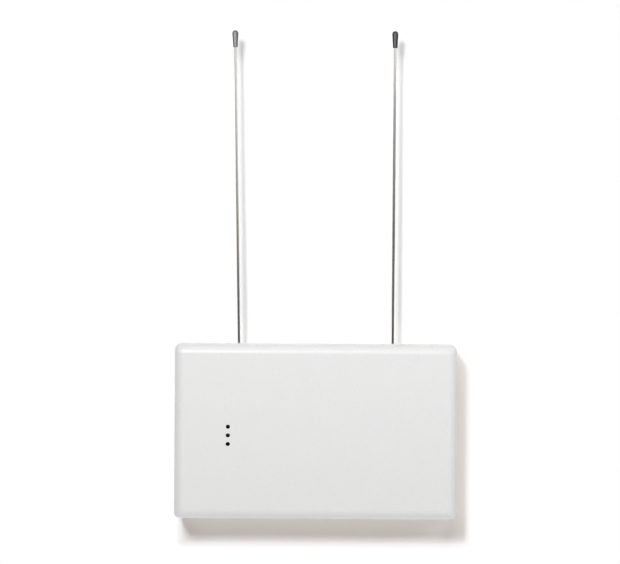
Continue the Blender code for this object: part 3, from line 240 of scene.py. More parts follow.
class BridgeLampSizes(bpy.types.PropertyGroup):
    """Sizes of the status lights."""

    hole: length("Hole", "Radius of the holes in the face", 0.00137)
    hole_edge: length("Hole edge", "Rounding of the holes' rims", 0.00015)
    radius: length("Lamp", "Radius of a lamp", 0.00145)
    flange: length("Flange", "Radius of a lamp's flange", 0.0016)
    steps: count("Steps", "Sides of the lamps and holes", 48)


class BridgeColours(bpy.types.PropertyGroup):
    """Colours of the finishes."""

    plastic: colour("Plastic", "White moulded plastic", (0.838, 0.838, 0.834))
    steel: colour("Steel", "Drawn steel of the whips", (0.72, 0.7, 0.66))
    rubber: colour("Rubber", "Black rubber of the tips", (0.03, 0.03, 0.032))
    # the bloom of the left tip, and also the colour of the painted highlight on both tips
    bloom_and_highlight: colour("Bloom", "Grey bloom on aged rubber", (0.36, 0.36, 0.37))
    laminate: colour("Board", "Solder mask of the boards", (0.03, 0.16, 0.07))
    copper: colour("Tracks", "Solder mask over copper tracks", (0.06, 0.26, 0.12))
    tin: colour("Tin", "Tinned and plated metal", (0.74, 0.75, 0.76))
    brass: colour("Brass", "Machined brass", (0.78, 0.62, 0.32))
    black: colour("Black plastic", "Black moulded plastic", (0.025, 0.025, 0.027))
    lens: colour("Lens", "Smoky lamp resin", (0.03, 0.03, 0.028))
    terminal: colour("Terminal", "Terminal block plastic", (0.05, 0.3, 0.13))
    sleeve: colour("Sleeve", "Shrink sleeve of the capacitors", (0.04, 0.05, 0.09))
    ferrite: colour("Ferrite", "Coil core", (0.09, 0.085, 0.08))


class BridgeStageSizes(bpy.types.PropertyGroup):
    """Camera, lights and wall."""

    camera: place("Camera", "Place of the camera", (-0.0042, -1.6, 0.09966))
    lens: level("Lens", "Focal length in millimetres", 136.95)
    roll: angle("Roll", "Turn of the camera about its own axis", 0.35)
    key_place: place("Key place", "Place of the main light", (-0.4, -1.45, 0.72))
    key_size: length("Key size", "Width of the main light", 0.31)
    key: level("Key", "Power of the main light in watts", 13.1)
    top_place: place("Top place", "Place of the light above", (0, -1.0, 0.9))
    top_size: length("Top size", "Width of the light above", 0.6)
    top: level("Top", "Power of the light above in watts", 5.3)
    side_place: place("Side place", "Place of the side light", (0.6, -0.5, 0.3))
    side_size: length("Side size", "Width of the side light", 0.4)
    side: level("Side", "Power of the side light in watts", 1.15)
    room_back: level("Room behind", "Light that a pale wall throws back", 0.5)
    room_floor: level("Room below", "Light from below", 1.14)
    room_low: level("Room low front", "Light from the low front", 0.24)
    room_right: level("Room right", "Light from the viewer's right", 0.18)
    shine_low: level("Shine low", "Brightness mirrored from low down", 0.06)
    shine_high: level("Shine high", "Brightness mirrored from above", 1.03)
    shine_wall: level("Shine wall", "Brightness mirrored from the wall", 0.9)
    shine_left: level("Shine left", "Share of the shine at the far left", 0.75)
    wall_size: length("Wall", "Width of the wall", 16)
    wall_gap: length("Wall gap", "Gap behind the housing", 0.0005)
    paint_low: colour("Paint low", "Wall paint round the housing", (1, 1, 1))
    # painted shade: darker paint by the tips, where the main light is nearer, deepens their shadows
    paint_shaded_by_tips: colour("Paint high", "Wall paint by the tips, nearer the light", (0.89, 0.89, 0.89))
    # painted light: the wall's paint glows, lifting its shadows, warm round the housing
    glow: level("Glow", "Light left in the shadows", 0.085)
    glow_low: colour("Glow low", "Warm light left in the housing's shadow", (1, 0.55, 0.25))
    glow_high: colour("Glow high", "Neutral light left in the whips' shadows", (0.6, 0.6, 0.6))


GROUPS = (
    ("bridge_housing", BridgeHousingSizes),
    ("bridge_whips", BridgeWhipSizes),
    ("bridge_lamps", BridgeLampSizes),
    ("bridge_colours", BridgeColours),
    ("bridge_stage", BridgeStageSizes),
)


def deselect():
    bpy.ops.object.select_all(action="DESELECT")


def activate(obj):
    deselect()
    obj.select_set(True)
    bpy.context.view_layer.objects.active = obj


def at(x, up, out):
    """A point of the housing: across, up, and out from the wall."""
    return Vector((x, -out, up))


def settled(name):
    """Names the new primitive and puts its place into its mesh."""
    obj = bpy.context.object
    obj.name = name
    bpy.ops.object.transform_apply(location=True, rotation=True, scale=True)
    return obj


def block(name, low, high):
    """A box between two corners, each given across, up and out from the wall."""
    deselect()
    a, b = at(*low), at(*high)
    size = Vector([abs(n) for n in b - a])
    bpy.ops.mesh.primitive_cube_add(size=1, location=(a + b) / 2, scale=size)
    return settled(name)


def corners(half_width, half_height, low, high, x=0, up=0):
    """Two corners round a middle, from one distance off the wall to another."""
    return (x - half_width, up - half_height, low), (x + half_width, up + half_height, high)


def bar(name, centre, radius, low, high, axis="Y", steps=48):
    """A round bar along an axis, between two distances out from the wall or two heights."""
    deselect()
    x, up = centre
    middle = (low + high) / 2
    if axis == "Y":
        where, turn = at(x, up, middle), (math.radians(90), 0, 0)
    else:
        where, turn = at(x, middle, up), (0, 0, 0)
    bpy.ops.mesh.primitive_cylinder_add(
        vertices=steps, radius=radius, depth=high - low, location=where, rotation=turn
    )
    return settled(name)


def choose(obj, kind, test):
    """Leaves the object in edit mode with what passes the test selected."""
    activate(obj)
    bpy.ops.object.mode_set(mode="EDIT")
    bpy.ops.mesh.select_mode(type=kind)
    bpy.ops.mesh.select_all(action="DESELECT")
    shape = bmesh.from_edit_mesh(obj.data)
    items = {"VERT": shape.verts, "EDGE": shape.edges, "FACE": shape.faces}[kind]
    chosen = [item for item in items if test(item)]
    for item in chosen:
        item.select_set(True)
    shape.select_flush_mode()
    bmesh.update_edit_mesh(obj.data)
    if not chosen:
        raise RuntimeError(f"{obj.name}: nothing to select")


def done():
    bpy.ops.object.mode_set(mode="OBJECT")


def move(obj, by):
    choose(obj, "VERT", lambda vert: True)
    bpy.ops.transform.translate(value=by)
    done()


def middle_of(edge):
    return (edge.verts[0].co + edge.verts[1].co) / 2


def runs_along(edge, axis):
    run = edge.verts[1].co - edge.verts[0].co
    return abs(run["XYZ".index(axis)]) > 0.999 * run.length


def round_edges(obj, test, radius, segments):
    choose(obj, "EDGE", test)
    bpy.ops.mesh.bevel(
        offset_type="OFFSET", offset=radius, segments=segments, profile=0.5,
        affect="EDGES", clamp_overlap=False,
    )
    done()
    return obj


def rounded_block(name, low, high, radius, segments=8):
    """A box with its four edges from the wall outwards rounded."""
    return round_edges(block(name, low, high), lambda e: runs_along(e, "Y"), radius, segments)


def modified(obj, name, kind, **settings):
    """Adds a modifier with its settings and applies it."""
    modifier = obj.modifiers.new(name, kind)
    for setting, value in settings.items():
        setattr(modifier, setting, value)
    activate(obj)
    bpy.ops.object.modifier_apply(modifier=modifier.name)


def joined(name, parts):
    """Several meshes in one object."""
    deselect()
    for part in parts:
        part.select_set(True)
    bpy.context.view_layer.objects.active = parts[0]
    if len(parts) > 1:
        bpy.ops.object.join()
    parts[0].name = name
    return parts[0]


def combine(obj, parts, operation):
    """Unites the object with the parts, or cuts them out of it."""
    other = joined(f"{obj.name}_tool", parts)
    modified(obj, "combine", "BOOLEAN", operation=operation, solver="EXACT", object=other)
    bpy.data.objects.remove(other, do_unlink=True)
    if not obj.data.polygons:
        raise RuntimeError(f"{obj.name} vanished in a Boolean")


def cut(obj, *parts):
    combine(obj, parts, "DIFFERENCE")


def add(obj, *parts):
    for part in parts:
        combine(obj, [part], "UNION")


def tidy(obj, sharp=35, weighted=True):
    """Merges doubles, points the faces outwards and shades the piece."""
    activate(obj)
    bpy.ops.object.mode_set(mode="EDIT")
    bpy.ops.mesh.select_all(action="SELECT")
    bpy.ops.mesh.remove_doubles(threshold=MERGE)
    bpy.ops.mesh.normals_make_consistent(inside=False)
    done()
    bpy.ops.object.shade_smooth_by_angle(angle=math.radians(sharp))
    if weighted:
        modified(obj, "shading", "WEIGHTED_NORMAL", keep_sharp=True)


def finished(obj, finish, slot, *nodes):
    """Gives the piece its finish and its place in the frame, instead of its CAD nodes."""
    obj.data.materials.clear()
    obj.data.materials.append(finish)
    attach(obj, BODY)
    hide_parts(*nodes)


def turned(name, where, profile, steps):
    """A round piece along Z: a ring drawn from point to point of its profile and closed."""
    deselect()
    (radius, start), *rest = profile
    x, y, z = where
    bpy.ops.mesh.primitive_circle_add(
        vertices=steps, radius=radius, fill_type="NGON", location=(x, y, z + start)
    )
    obj = settled(name)
    bpy.ops.object.mode_set(mode="EDIT")
    bpy.ops.mesh.select_mode(type="FACE")
    bpy.ops.mesh.select_all(action="SELECT")
    height = start
    for next_radius, next_height in rest:
        ratio = next_radius / radius
        bpy.ops.mesh.extrude_region_move(
            TRANSFORM_OT_translate={"value": (0, 0, next_height - height)}
        )
        bpy.ops.transform.resize(
            value=(ratio, ratio, 1), center_override=(x, y, z + next_height)
        )
        radius, height = next_radius, next_height
    done()
    return obj


def dome(radius, height, steps, pole):
    """Radii and heights up a round end, from its side to the ring that closes it."""
    turns = [math.radians(90) * step / steps for step in range(steps)]
    rise = [(radius * math.cos(turn), height - radius + radius * math.sin(turn))
            for turn in turns]
    return [*rise, (pole, height)]


def turn_about(obj, centre, degrees, axis):
    """Turns the whole mesh; with no window the operator turns the other way."""
    choose(obj, "VERT", lambda vert: True)
    bpy.ops.transform.rotate(
        value=-math.radians(degrees), orient_axis=axis, orient_type="GLOBAL",
        center_override=centre,
    )
    done()


def new_finish(name):
    finish = bpy.data.materials.new(name)
    finish.use_nodes = True
    return finish, finish.node_tree, finish.node_tree.nodes["Principled BSDF"]


def node(tree, kind, inputs=None, **settings):
    """A shader node with its settings, and with values or links in its inputs."""
    made = tree.nodes.new(f"ShaderNode{kind}")
    for name, value in settings.items():
        setattr(made, name, value)
    for name, value in (inputs or {}).items():
        if isinstance(value, bpy.types.NodeSocket):
            tree.links.new(value, made.inputs[name])
        else:
            made.inputs[name].default_value = value
    return made


def object_place(tree, scale=(1, 1, 1), location=(0, 0, 0)):
    """Object coordinates through a Mapping node."""
    source = node(tree, "TexCoord").outputs["Object"]
    return node(
        tree, "Mapping", {"Vector": source, "Scale": scale, "Location": location}
    ).outputs["Vector"]


def noise(tree, vector, scale, detail=3.0, roughness=0.5):
    return node(
        tree, "TexNoise",
        {"Vector": vector, "Scale": scale, "Detail": detail, "Roughness": roughness},
    ).outputs["Fac"]


def spread(tree, value, low, high, start=0.3, end=0.7, **settings):
    """Takes a value's run from start to end to one from low to high, and holds it there."""
    return node(
        tree, "MapRange",
        {"Value": value, "From Min": start, "From Max": end, "To Min": low, "To Max": high},
        **settings,
    ).outputs["Result"]


def reckon(tree, operation, first, second):
    return node(tree, "Math", {0: first, 1: second}, operation=operation).outputs[0]


def reckon_vector(tree, operation, *values):
    return node(
        tree, "VectorMath", dict(enumerate(values)), operation=operation
    ).outputs


def blend(tree, factor, first, second):
    return node(tree, "Mix", {0: factor, 2: first, 3: second}).outputs[0]


def mix(tree, factor, first, second):
    """Two colours mixed by a factor."""
    colours = {0: factor, 6: first, 7: second}
    return node(tree, "Mix", colours, data_type="RGBA").outputs[2]


def shade(tint, by=1):
    """A colour made darker or lighter, with its alpha."""
    return (*[min(1, max(0, part * by)) for part in tint], 1)


def bumped(tree, shader, height, strength, distance):
    bump = node(
        tree, "Bump", {"Height": height, "Strength": strength, "Distance": distance}
    )
    tree.links.new(bump.outputs["Normal"], shader.inputs["Normal"])


def grained(name, tint, rough, scale, vary=0.08, bump=0.15, depth=0.00002, metal=0.0,
            stretch=(1, 1, 1)):
    """A finish of one tint with slow variation, uneven gloss and a fine surface grain."""
    finish, tree, shader = new_finish(name)
    where = object_place(tree, stretch)
    slow = noise(tree, where, scale / 12)
    fine = noise(tree, where, scale, *FINE_GRAIN)
    tinted = mix(tree, spread(tree, slow, 0, 1), shade(tint, 1 - vary), shade(tint, 1 + vary))
    tree.links.new(tinted, shader.inputs["Base Color"])
    tree.links.new(spread(tree, fine, rough * 0.85, rough * 1.15), shader.inputs["Roughness"])
    shader.inputs["Metallic"].default_value = metal
    bumped(tree, shader, fine, bump, depth)
    finish.diffuse_color = (*tint, 1)
    return finish


def white_plastic():
    """The one finish of both shells."""
    tint = bpy.context.scene.bridge_colours.plastic
    found = bpy.data.materials.get("moulded_white_plastic")
    return found or grained(
        "moulded_white_plastic", tint, rough=0.3, scale=900, vary=0.006, bump=0.03,
        depth=0.00001,
    )


class BRIDGE_OT_front_cover(bpy.types.Operator):
    """Models the moulded front cover with its lamp holes, notches, ribs and hook windows"""

    bl_idname = "bridge.front_cover"
    bl_label = "Front cover"

    def execute(self, context):
        scene = context.scene
        size, lamps = scene.bridge_housing, scene.bridge_lamps
        inside = size.depth - size.wall
        cover = drafted_shell(size)
        add(cover, *cover_ribs(size), lamp_collar(size, size.collar, inside + ROOT))
        cut(cover, rim_rebate(size))
        notches = [ear_block(scene, side, size.gap) for side in SIDES]
        cut(cover, *notches, *hook_windows(size))
        cut(cover, lamp_collar(size, 0, inside, PAST))
        cut(cover, *lamp_holes(scene))
        places = lamp_places()

        def is_rim(edge):
            if any(vert.co.y > -size.depth + 2 * HAIR for vert in edge.verts):
                return False
            point = middle_of(edge)
            return any(
                math.hypot(point.x - x, point.z - z) < lamps.hole * 1.05 for x, z in places
            )

        round_edges(cover, is_rim, lamps.hole_edge, 4)
        tidy(cover)
        finished(cover, white_plastic(), WHITE_SLOT, "front_cover")
        return {"FINISHED"}


def side_inset(size):
    """How far the cover's tapered sides have come in at its front."""
    return (size.depth - size.rear_depth - size.seam) * math.tan(size.draft)


def drafted_shell(size):
    """The open shell of the cover: a tapered box, rounded in front, with a wall."""
    half_width, half_height = size.width / 2, size.height / 2
    back = size.rear_depth + size.seam
    cover = block("cover_shell", *corners(half_width, half_height, back, size.depth))
    inset = side_inset(size)
    halfway = -(back + size.depth) / 2

    def in_front(vert):
        return vert.co.y < halfway

    def is_corner(edge):
        return in_front(edge.verts[0]) != in_front(edge.verts[1])

    def is_back(face):
        return face.calc_center_median().y > halfway and abs(face.normal.y) > 0.9

    choose(cover, "VERT", in_front)
    bpy.ops.transform.resize(
        value=(1 - inset / half_width, 1, 1 - inset / half_height),
        center_override=(0, -size.depth, 0),
    )
    done()
    choose(cover, "EDGE", lambda edge: all(in_front(vert) for vert in edge.verts))
    bpy.ops.transform.edge_bevelweight(value=1)
    done()
    choose(cover, "EDGE", is_corner)
    bpy.ops.transform.edge_bevelweight(value=size.corner / size.fillet)
    done()
    choose(cover, "FACE", is_back)
    bpy.ops.mesh.delete(type="ONLY_FACE")
    done()
    modified(cover, "rounding", "BEVEL", limit_method="WEIGHT", width=size.fillet,
             segments=size.steps)
    modified(cover, "wall", "SOLIDIFY", thickness=size.wall, offset=-1,
             use_even_offset=True, use_quality_normals=True)
    return cover


def cover_ribs(size):
    """Two ribs behind the face, above and below the lamp holder."""
    half = size.width / 2 - COVER_RIB_END
    inside = size.depth - size.wall
    away = (HOLDER_HIGH.z - HOLDER_LOW.z) / 2 + COVER_RIB_AWAY
    centre = (HOLDER_HIGH.z + HOLDER_LOW.z) / 2
    return [
        block("rib", *corners(half, size.rib / 2, inside - size.cover_rib, inside + ROOT,
                              up=middle))
        for middle in (centre - away, centre + away)
    ]


def lamp_collar(size, wall, front, past=0):
    """The raised frame behind the face round the lamp holder, or the pocket inside it."""
    reach = size.gap + wall
    back = size.depth - size.wall - size.collar_height - past
    low = (HOLDER_LOW.x - reach, HOLDER_LOW.z - reach, back)
    high = (HOLDER_HIGH.x + reach, HOLDER_HIGH.z + reach, front)
    return block("collar", low, high)


def rim_rebate(size):
    """The step inside the cover's rim that fits over the tray's lip."""
    skin = size.wall - size.lip - size.gap
    half_width, half_height = size.width / 2 - skin, size.height / 2 - skin
    top = size.rear_depth + size.lip_height + size.gap
    return rounded_block(
        "rebate", *corners(half_width, half_height, size.rear_depth - PAST, top),
        size.corner - skin,
    )


def ear_block(scene, side, grow):
    """The outline of one ear, or with some growth that of its notch."""
    size, whips = scene.bridge_housing, scene.bridge_whips
    middle = side * whips.spacing / 2
    half = whips.ear_width / 2 + grow
    inset, behind, above = 0, EAR_ROOT, whips.ear_proud
    if grow:
        inset, behind, above = side_inset(size), PAST, PAST
    low = (middle - half, size.height / 2 - size.wall - whips.ear_proud - grow - inset,
           size.rear_depth - behind)
    high = (middle + half, size.height / 2 + above, whips.depth + whips.ear_nose + grow)
    return round_edges(
        block("ear", low, high),
        lambda e: runs_along(e, "Z") and middle_of(e).y < -whips.depth,
        whips.ear_corner, 8,
    )


def hook_rows(size, lower, upper):
    """Side, middle and depth of each hook, the lower pair first."""
    pairs = ((-1, size.lower_hooks, lower), (1, size.upper_hooks, upper))
    return [(side, end * spacing / 2, depth) for side, spacing, depth in pairs for end in SIDES]


def slab(name, middle, half, ends, low, high):
    """A box round a middle, from one height to another."""
    bottom, top = sorted(ends)
    return block(name, (middle - half, bottom, low), (middle + half, top, high))


def hook_windows(size):
    """Through windows for the lower barbs, and blind pockets for the upper ones."""
    blind = size.wall - POCKET_SKIN - side_inset(size)
    half = size.hook_width / 2 + size.gap
    low, high = size.hook_reach - size.barb_height - size.gap, size.hook_reach + size.gap
    made = []
    for side, middle, depth in hook_rows(size, size.wall + PAST, blind):
        inner = side * (size.height / 2 - size.wall)
        ends = (inner - side * PAST, inner + side * depth)
        made.append(slab("window", middle, half, ends, low, high))
    return made


def lamp_places():
    """The x and z of each status light, from the top one down."""
    x = (LAMP_LOW.x + LAMP_HIGH.x) / 2
    middle = (LAMP_LOW.z + LAMP_HIGH.z) / 2
    pitch = (LAMP_TOP_LOW.z + LAMP_TOP_HIGH.z) / 2 - middle
    return [(x, middle + pitch), (x, middle), (x, middle - pitch)]


def lamp_holes(scene):
    size, lamps = scene.bridge_housing, scene.bridge_lamps
    return [
        bar("hole", where, lamps.hole, size.depth - size.wall - PAST, size.depth + PAST,
            steps=lamps.steps)
        for where in lamp_places()
    ]


class BRIDGE_OT_rear_housing(bpy.types.Operator):
    """Models the tray on the wall: lip, bosses, ribs, hooks, ears, keyholes and the wire entry"""

    bl_idname = "bridge.rear_housing"
    bl_label = "Rear housing"

    def execute(self, context):
        scene = context.scene
        size = scene.bridge_housing
        half_width, half_height = size.width / 2, size.height / 2
        top = size.rear_depth + size.lip_height
        tray = rounded_block(
            "wall_tray", *corners(half_width, half_height, 0, top), size.corner,
            segments=size.steps,
        )
        round_edges(
            tray, lambda e: all(vert.co.y > -10 * HAIR for vert in e.verts), size.back_round, 5
        )
        hollow = corners(half_width - size.wall, half_height - size.wall, size.wall, top + PAST)
        cut(tray, rounded_block("hollow", *hollow, size.corner - size.wall))
        cut(tray, lip_frame(size))
        add(tray, *board_bosses(size))
        add(tray, *floor_ribs(size))
        add(tray, *hooks(size))
        add(tray, *[ear_block(scene, side, 0) for side in SIDES])
        cut(tray, *rear_holes(scene))
        cut(tray, *wire_entry(size))
        face = half_height + scene.bridge_whips.ear_proud

        def is_ear_edge(edge):
            return all(abs(vert.co.z - face) < HAIR for vert in edge.verts)

        round_edges(tray, is_ear_edge, size.edge, 3)
        tidy(tray)
        finished(tray, white_plastic(), WHITE_SLOT, "rear_housing")
        return {"FINISHED"}


def lip_frame(size):
    """A square frame round the outside, which leaves the lip standing above the seam."""
    half_width, half_height = size.width / 2 + PAST, size.height / 2 + PAST
    top = size.rear_depth + size.lip_height + PAST
    trimmer = block("trimmer", *corners(half_width, half_height, size.rear_depth, top))
    setback = size.wall - size.lip
    half_width, half_height = size.width / 2 - setback, size.height / 2 - setback
    core = corners(half_width, half_height, size.rear_depth - PAST, top + PAST)
    cut(trimmer, rounded_block("core", *core, size.corner - setback))
    return trimmer


def boss_places(inset):
    """The four corners of the board, where its screws stand."""
    return [
        (side * (BOARD_HIGH.x - inset), height)
        for side in SIDES
        for height in (BOARD_LOW.z + inset, BOARD_HIGH.z - inset)
    ]


def board_bosses(size):
    return [
        bar("boss", where, size.boss, size.wall - ROOT, size.wall + size.boss_height, steps=32)
        for where in boss_places(size.boss_inset)
    ]


def floor_ribs(size):
    """Two upright ribs, one across, and the rim of the wire entry."""
    back, front = size.wall - ROOT, size.wall + size.rear_rib
    reach = size.height / 2 - size.wall - TRAY_RIB_END
    away = size.entry_width / 2 + TRAY_RIB_AWAY
    made = [block("rib", *corners(size.rib / 2, reach, back, front, x=side * away))
            for side in SIDES]
    reach = size.width / 2 - size.wall - TRAY_RIB_END
    made.append(block("rib", *corners(reach, size.rib / 2, back, front - HAIR)))
    half_width = size.entry_width / 2 + size.rib
    half_height = size.entry_height / 2 + size.rib
    rim = corners(half_width, half_height, back, front, up=-size.entry_drop)
    return [*made, rounded_block("rim", *rim, size.entry_corner + size.rib)]


def hooks(size):
    """Hook arms with barbs: square behind, sloped in front to ride over the cover's edge."""
    half, reach = size.hook_width / 2, size.hook_reach
    front = -reach + size.barb_height / 2
    made = []
    for side, middle, depth in hook_rows(size, size.lower_barb, size.upper_barb):
        outer = side * (size.height / 2 - size.wall - HOOK_GAP - side_inset(size))
        ends = (outer, outer - side * size.rib)
        made.append(slab("arm", middle, half, ends, size.wall - ROOT, reach))
        ends = (outer - side * size.rib / 2, outer + side * depth)
        barb = slab("barb", middle, half, ends, reach - size.barb_height, reach)
        choose(barb, "VERT", lambda v: side * v.co.z > side * outer and v.co.y < front)
        bpy.ops.transform.translate(value=(0, BARB_SLOPE, 0))
        done()
        made.append(barb)
    return made


def keyhole(size, side):
    """A round mouth with a round-ended slot above it."""
    x, up = side * size.keyholes / 2, size.height / 2 - size.keyhole_drop
    left, right, front = x - size.slot, x + size.slot, size.wall + PAST
    mouth = bar("mouth", (x, up), size.mouth, -PAST, front + size.rear_rib, steps=64)
    slot = rounded_block("slot", (left, up, -PAST), (right, up + size.slot_length, front),
                         SLOT_CORNER, segments=12)
    add(slot, block("foot", (left, up, -PAST), (right, up + SLOT_FOOT, front)))
    add(mouth, slot)
    return mouth


def rear_holes(scene):
    """Keyholes, screw holes, boss holes and the whips' holes in the ears."""
    size, whips = scene.bridge_housing, scene.bridge_whips
    made = []
    for side in SIDES:
        made.append(keyhole(size, side))
        screw = (side * size.screws / 2, size.screw_rise - size.height / 2)
        made.append(bar("screw", screw, size.screw_hole, -PAST, size.wall + PAST))
        made.append(bar(
            "whip_hole", (side * whips.spacing / 2, whips.depth), whips.rod + WHIP_HOLE_GAP,
            size.height / 2 - size.wall - PAST, size.height / 2 + PAST, axis="Z",
        ))
    for where in boss_places(size.boss_inset):
        made.append(bar("boss_hole", where, size.boss_hole, size.wall + BOSS_HOLE_LOW,
                        size.wall + BOSS_HOLE_HIGH, steps=24))
    return made


def wire_entry(size):
    """The wire entry in the floor, and a thin place in the bottom wall for surface wiring."""
    front = size.wall + size.rear_rib + PAST
    entry = corners(size.entry_width / 2, size.entry_height / 2, -PAST, front,
                    up=-size.entry_drop)
    inner = -size.height / 2 + size.wall
    knockout = block(
        "knockout", (-KNOCKOUT_HALF, inner - size.wall + KNOCKOUT_SKIN, size.wall + KNOCKOUT_EDGE),
        (KNOCKOUT_HALF, inner + ROOT, size.rear_depth - KNOCKOUT_EDGE),
    )
    return [rounded_block("entry", *entry, size.entry_corner), knockout]


class BRIDGE_OT_whips(bpy.types.Operator):
    """Models the two steel whips and their rubber tips"""

    bl_idname = "bridge.whips"
    bl_label = "Whips"

    def execute(self, context):
        scene = context.scene
        size = scene.bridge_whips
        top = scene.bridge_housing.height / 2
        reach = LEFT_TIP_HIGH.z - top
        rod_top = reach - ROD_SHORT
        bottom = LEFT_ROD_LOW.z - top
        mouth = reach - size.tip_length
        bore = size.rod + BORE_GAP
        rod_profile = [
            (size.rod - ROD_CHAMFER, bottom), (size.rod, bottom + ROD_CHAMFER),
            *[(size.rod, bottom + (rod_top - bottom) * ring / ROD_RINGS)
              for ring in range(1, ROD_RINGS)],
            (size.rod, rod_top - ROD_CHAMFER), (size.rod - ROD_CHAMFER, rod_top),
        ]
        tip_profile = [
            *[(bore * part, rod_top + up) for part, up in BORE_END], (bore, mouth),
            *[(size.neck + out, mouth + up) for out, up in MOUTH_STEPS],
            (size.tip, reach - size.barrel), *dome(size.tip, reach, 14, TIP_POLE),
        ]
        for label, side, low, high in (
            ("left", -1, LEFT_TIP_LOW, LEFT_TIP_HIGH), ("right", 1, RIGHT_TIP_LOW, RIGHT_TIP_HIGH),
        ):
            pivot = Vector((side * size.spacing / 2, -size.depth, top))
            tip_middle = (low.x + high.x) / 2
            lean = math.degrees(math.atan2(tip_middle - pivot.x, (low.z + high.z) / 2 - top))
            rod = turned(f"{label}_whip_rod", pivot, rod_profile, size.steps)
            tip = turned(f"{label}_whip_tip", pivot, tip_profile, size.steps)
            for obj in (rod, tip):
                turn_about(obj, pivot, lean, "Y")
                tidy(obj, sharp=40, weighted=False)
            finished(rod, drawn_steel(scene, label), "whip_steel", f"whip_{label}_rod")
            finished(tip, tip_rubber(scene, label), "tip_rubber", f"whip_{label}_tip")
        return {"FINISHED"}


def drawn_steel(scene, label):
    """Bright steel with fine lines along its length, its colour darker halfway up the right rod."""
    tint = scene.bridge_colours.steel
    finish = grained(
        f"drawn_steel_{label}", tint, rough=0.13, scale=2500, vary=0.03, bump=0.012,
        depth=0.00001, metal=1.0, stretch=(1, 1, 0.01),
    )
    tree = finish.node_tree
    base = tree.nodes["Principled BSDF"].inputs["Base Color"]
    height = node(tree, "SeparateXYZ", {0: object_place(tree)}).outputs["Z"]
    above = spread(tree, height, 0, ROD_DARKENING[label], *DARKENING_FROM)
    below = spread(tree, height, 1, 0, *DARKENING_TO)
    darkening = reckon(tree, "MULTIPLY", above, below)
    tree.links.new(mix(tree, darkening, base.links[0].from_socket, shade(tint, 0.5)), base)
    return finish


def tip_rubber(scene, label):
    """Black rubber with grey bloom of age on the left tip, and a painted highlight down the front
    of each tip.
    """
    colours = scene.bridge_colours
    finish, tree, shader = new_finish(f"tip_rubber_{label}")
    where = object_place(tree)
    normal = node(tree, "TexCoord").outputs["Normal"]
    # painted highlight: the side that faces the main light is painted lighter
    facing = reckon_vector(tree, "DOT_PRODUCT", normal, HIGHLIGHT_SIDE)["Value"]
    bloom_and_highlight = spread(tree, facing, *BLOOM_AND_HIGHLIGHT[label], *HIGHLIGHT_EDGE)
    patches = spread(tree, noise(tree, where, 700, *FINE_GRAIN), 0.85, 1.1)
    factor = reckon(tree, "MULTIPLY", bloom_and_highlight, patches)
    tinted = mix(tree, factor, shade(colours.rubber), shade(colours.bloom_and_highlight))
    tree.links.new(tinted, shader.inputs["Base Color"])
    fine = noise(tree, where, 5000, *FINE_GRAIN)
    tree.links.new(spread(tree, fine, 0.5, 0.64), shader.inputs["Roughness"])
    shader.inputs["Specular IOR Level"].default_value = 0.25
    bumped(tree, shader, fine, 0.2, 0.00002)
    finish.diffuse_color = (*colours.rubber, 1)
    return finish


class BRIDGE_OT_lamps(bpy.types.Operator):
    """Models the three status lamps behind their holes"""

    bl_idname = "bridge.lamps"
    bl_label = "Status lamps"

    def execute(self, context):
        scene = context.scene
        tint = scene.bridge_colours.lens
        lens = grained("smoky_lamp_lens", tint, rough=0.2, scale=2500, bump=0.02)
        (top_x, top_z), *others = lamp_places()
        first = top_lamp(scene.bridge_lamps, top_x, top_z)
        finished(first, lens, "lamp_lens", "status_led_1")
        for number, (x, z) in enumerate(others, 2):
            activate(first)
            bpy.ops.object.duplicate(linked=False)
            lamp = context.object
            lamp.name = f"status_lamp_{number}"
            move(lamp, (x - top_x, 0, z - top_z))
            finished(lamp, lens, "lamp_lens", f"status_led_{number}")
        return {"FINISHED"}


def top_lamp(size, x, z):
    """A round lamp on its flange, with two square leads to the board."""
    front, back = -LAMP_TOP_LOW.y, -LAMP_TOP_HIGH.y
    flange = front - LAMP_LENGTH
    shoulder = flange + FLANGE_THICKNESS
    lamp = turned("status_lamp_1", (x, 0, z), [
        (size.flange - FLANGE_EDGE, flange), (size.flange, flange + FLANGE_EDGE),
        (size.flange, shoulder), (size.radius, shoulder),
        *dome(size.radius, front, 12, LAMP_POLE),
    ], size.steps)
    leads = [
        block("lead", (middle - LEAD_HALF, -LEAD_HALF, back),
              (middle + LEAD_HALF, LEAD_HALF, flange + FLANGE_THICKNESS / 2))
        for middle in (-LEAD_AWAY, LEAD_AWAY)
    ]
    for lead in leads:
        move(lead, (x, 0, z))
    turn_about(lamp, (x, 0, z), 90, "X")
    add(lamp, *leads)
    tidy(lamp)
    return lamp


class BRIDGE_OT_inside(bpy.types.Operator):
    """Gives the pieces on and round the circuit board their finishes"""

    bl_idname = "bridge.inside"
    bl_label = "Inside"

    def execute(self, context):
        finishes = inside_finishes(context.scene)
        slots = {row["node"]: row["material_slot"] for row in frame["record"]["subparts"]}
        for name, obj in frame["nodes"].items():
            if obj.hide_render:
                continue
            obj.data.materials.clear()
            obj.data.materials.append(finishes[slots[name]])
        return {"FINISHED"}


def inside_finishes(scene):
    """A finish for each of the record's slots that the inside pieces use."""
    colours = scene.bridge_colours
    return {
        "board_laminate": board_finish(scene),
        "tinned_metal": grained("plated_metal", colours.tin, rough=0.32, scale=1500,
                                metal=1.0, bump=0.05),
        "terminal_brass": grained("cut_brass", colours.brass, rough=0.3, scale=2500,
                                  metal=1.0, bump=0.08, stretch=(1, 0.05, 1)),
        "black_plastic": grained("black_moulding", colours.black, rough=0.5, scale=2500,
                                 vary=0.15),
        "terminal_green": grained("terminal_plastic", colours.terminal, rough=0.42, scale=1800,
                                  vary=0.05),
        "capacitor_sleeve": grained("shrink_sleeve", colours.sleeve, rough=0.3, scale=1200,
                                    bump=0.1),
        "coil_ferrite": grained("pressed_ferrite", colours.ferrite, rough=0.6, scale=3000,
                                vary=0.2, bump=0.3),
    }


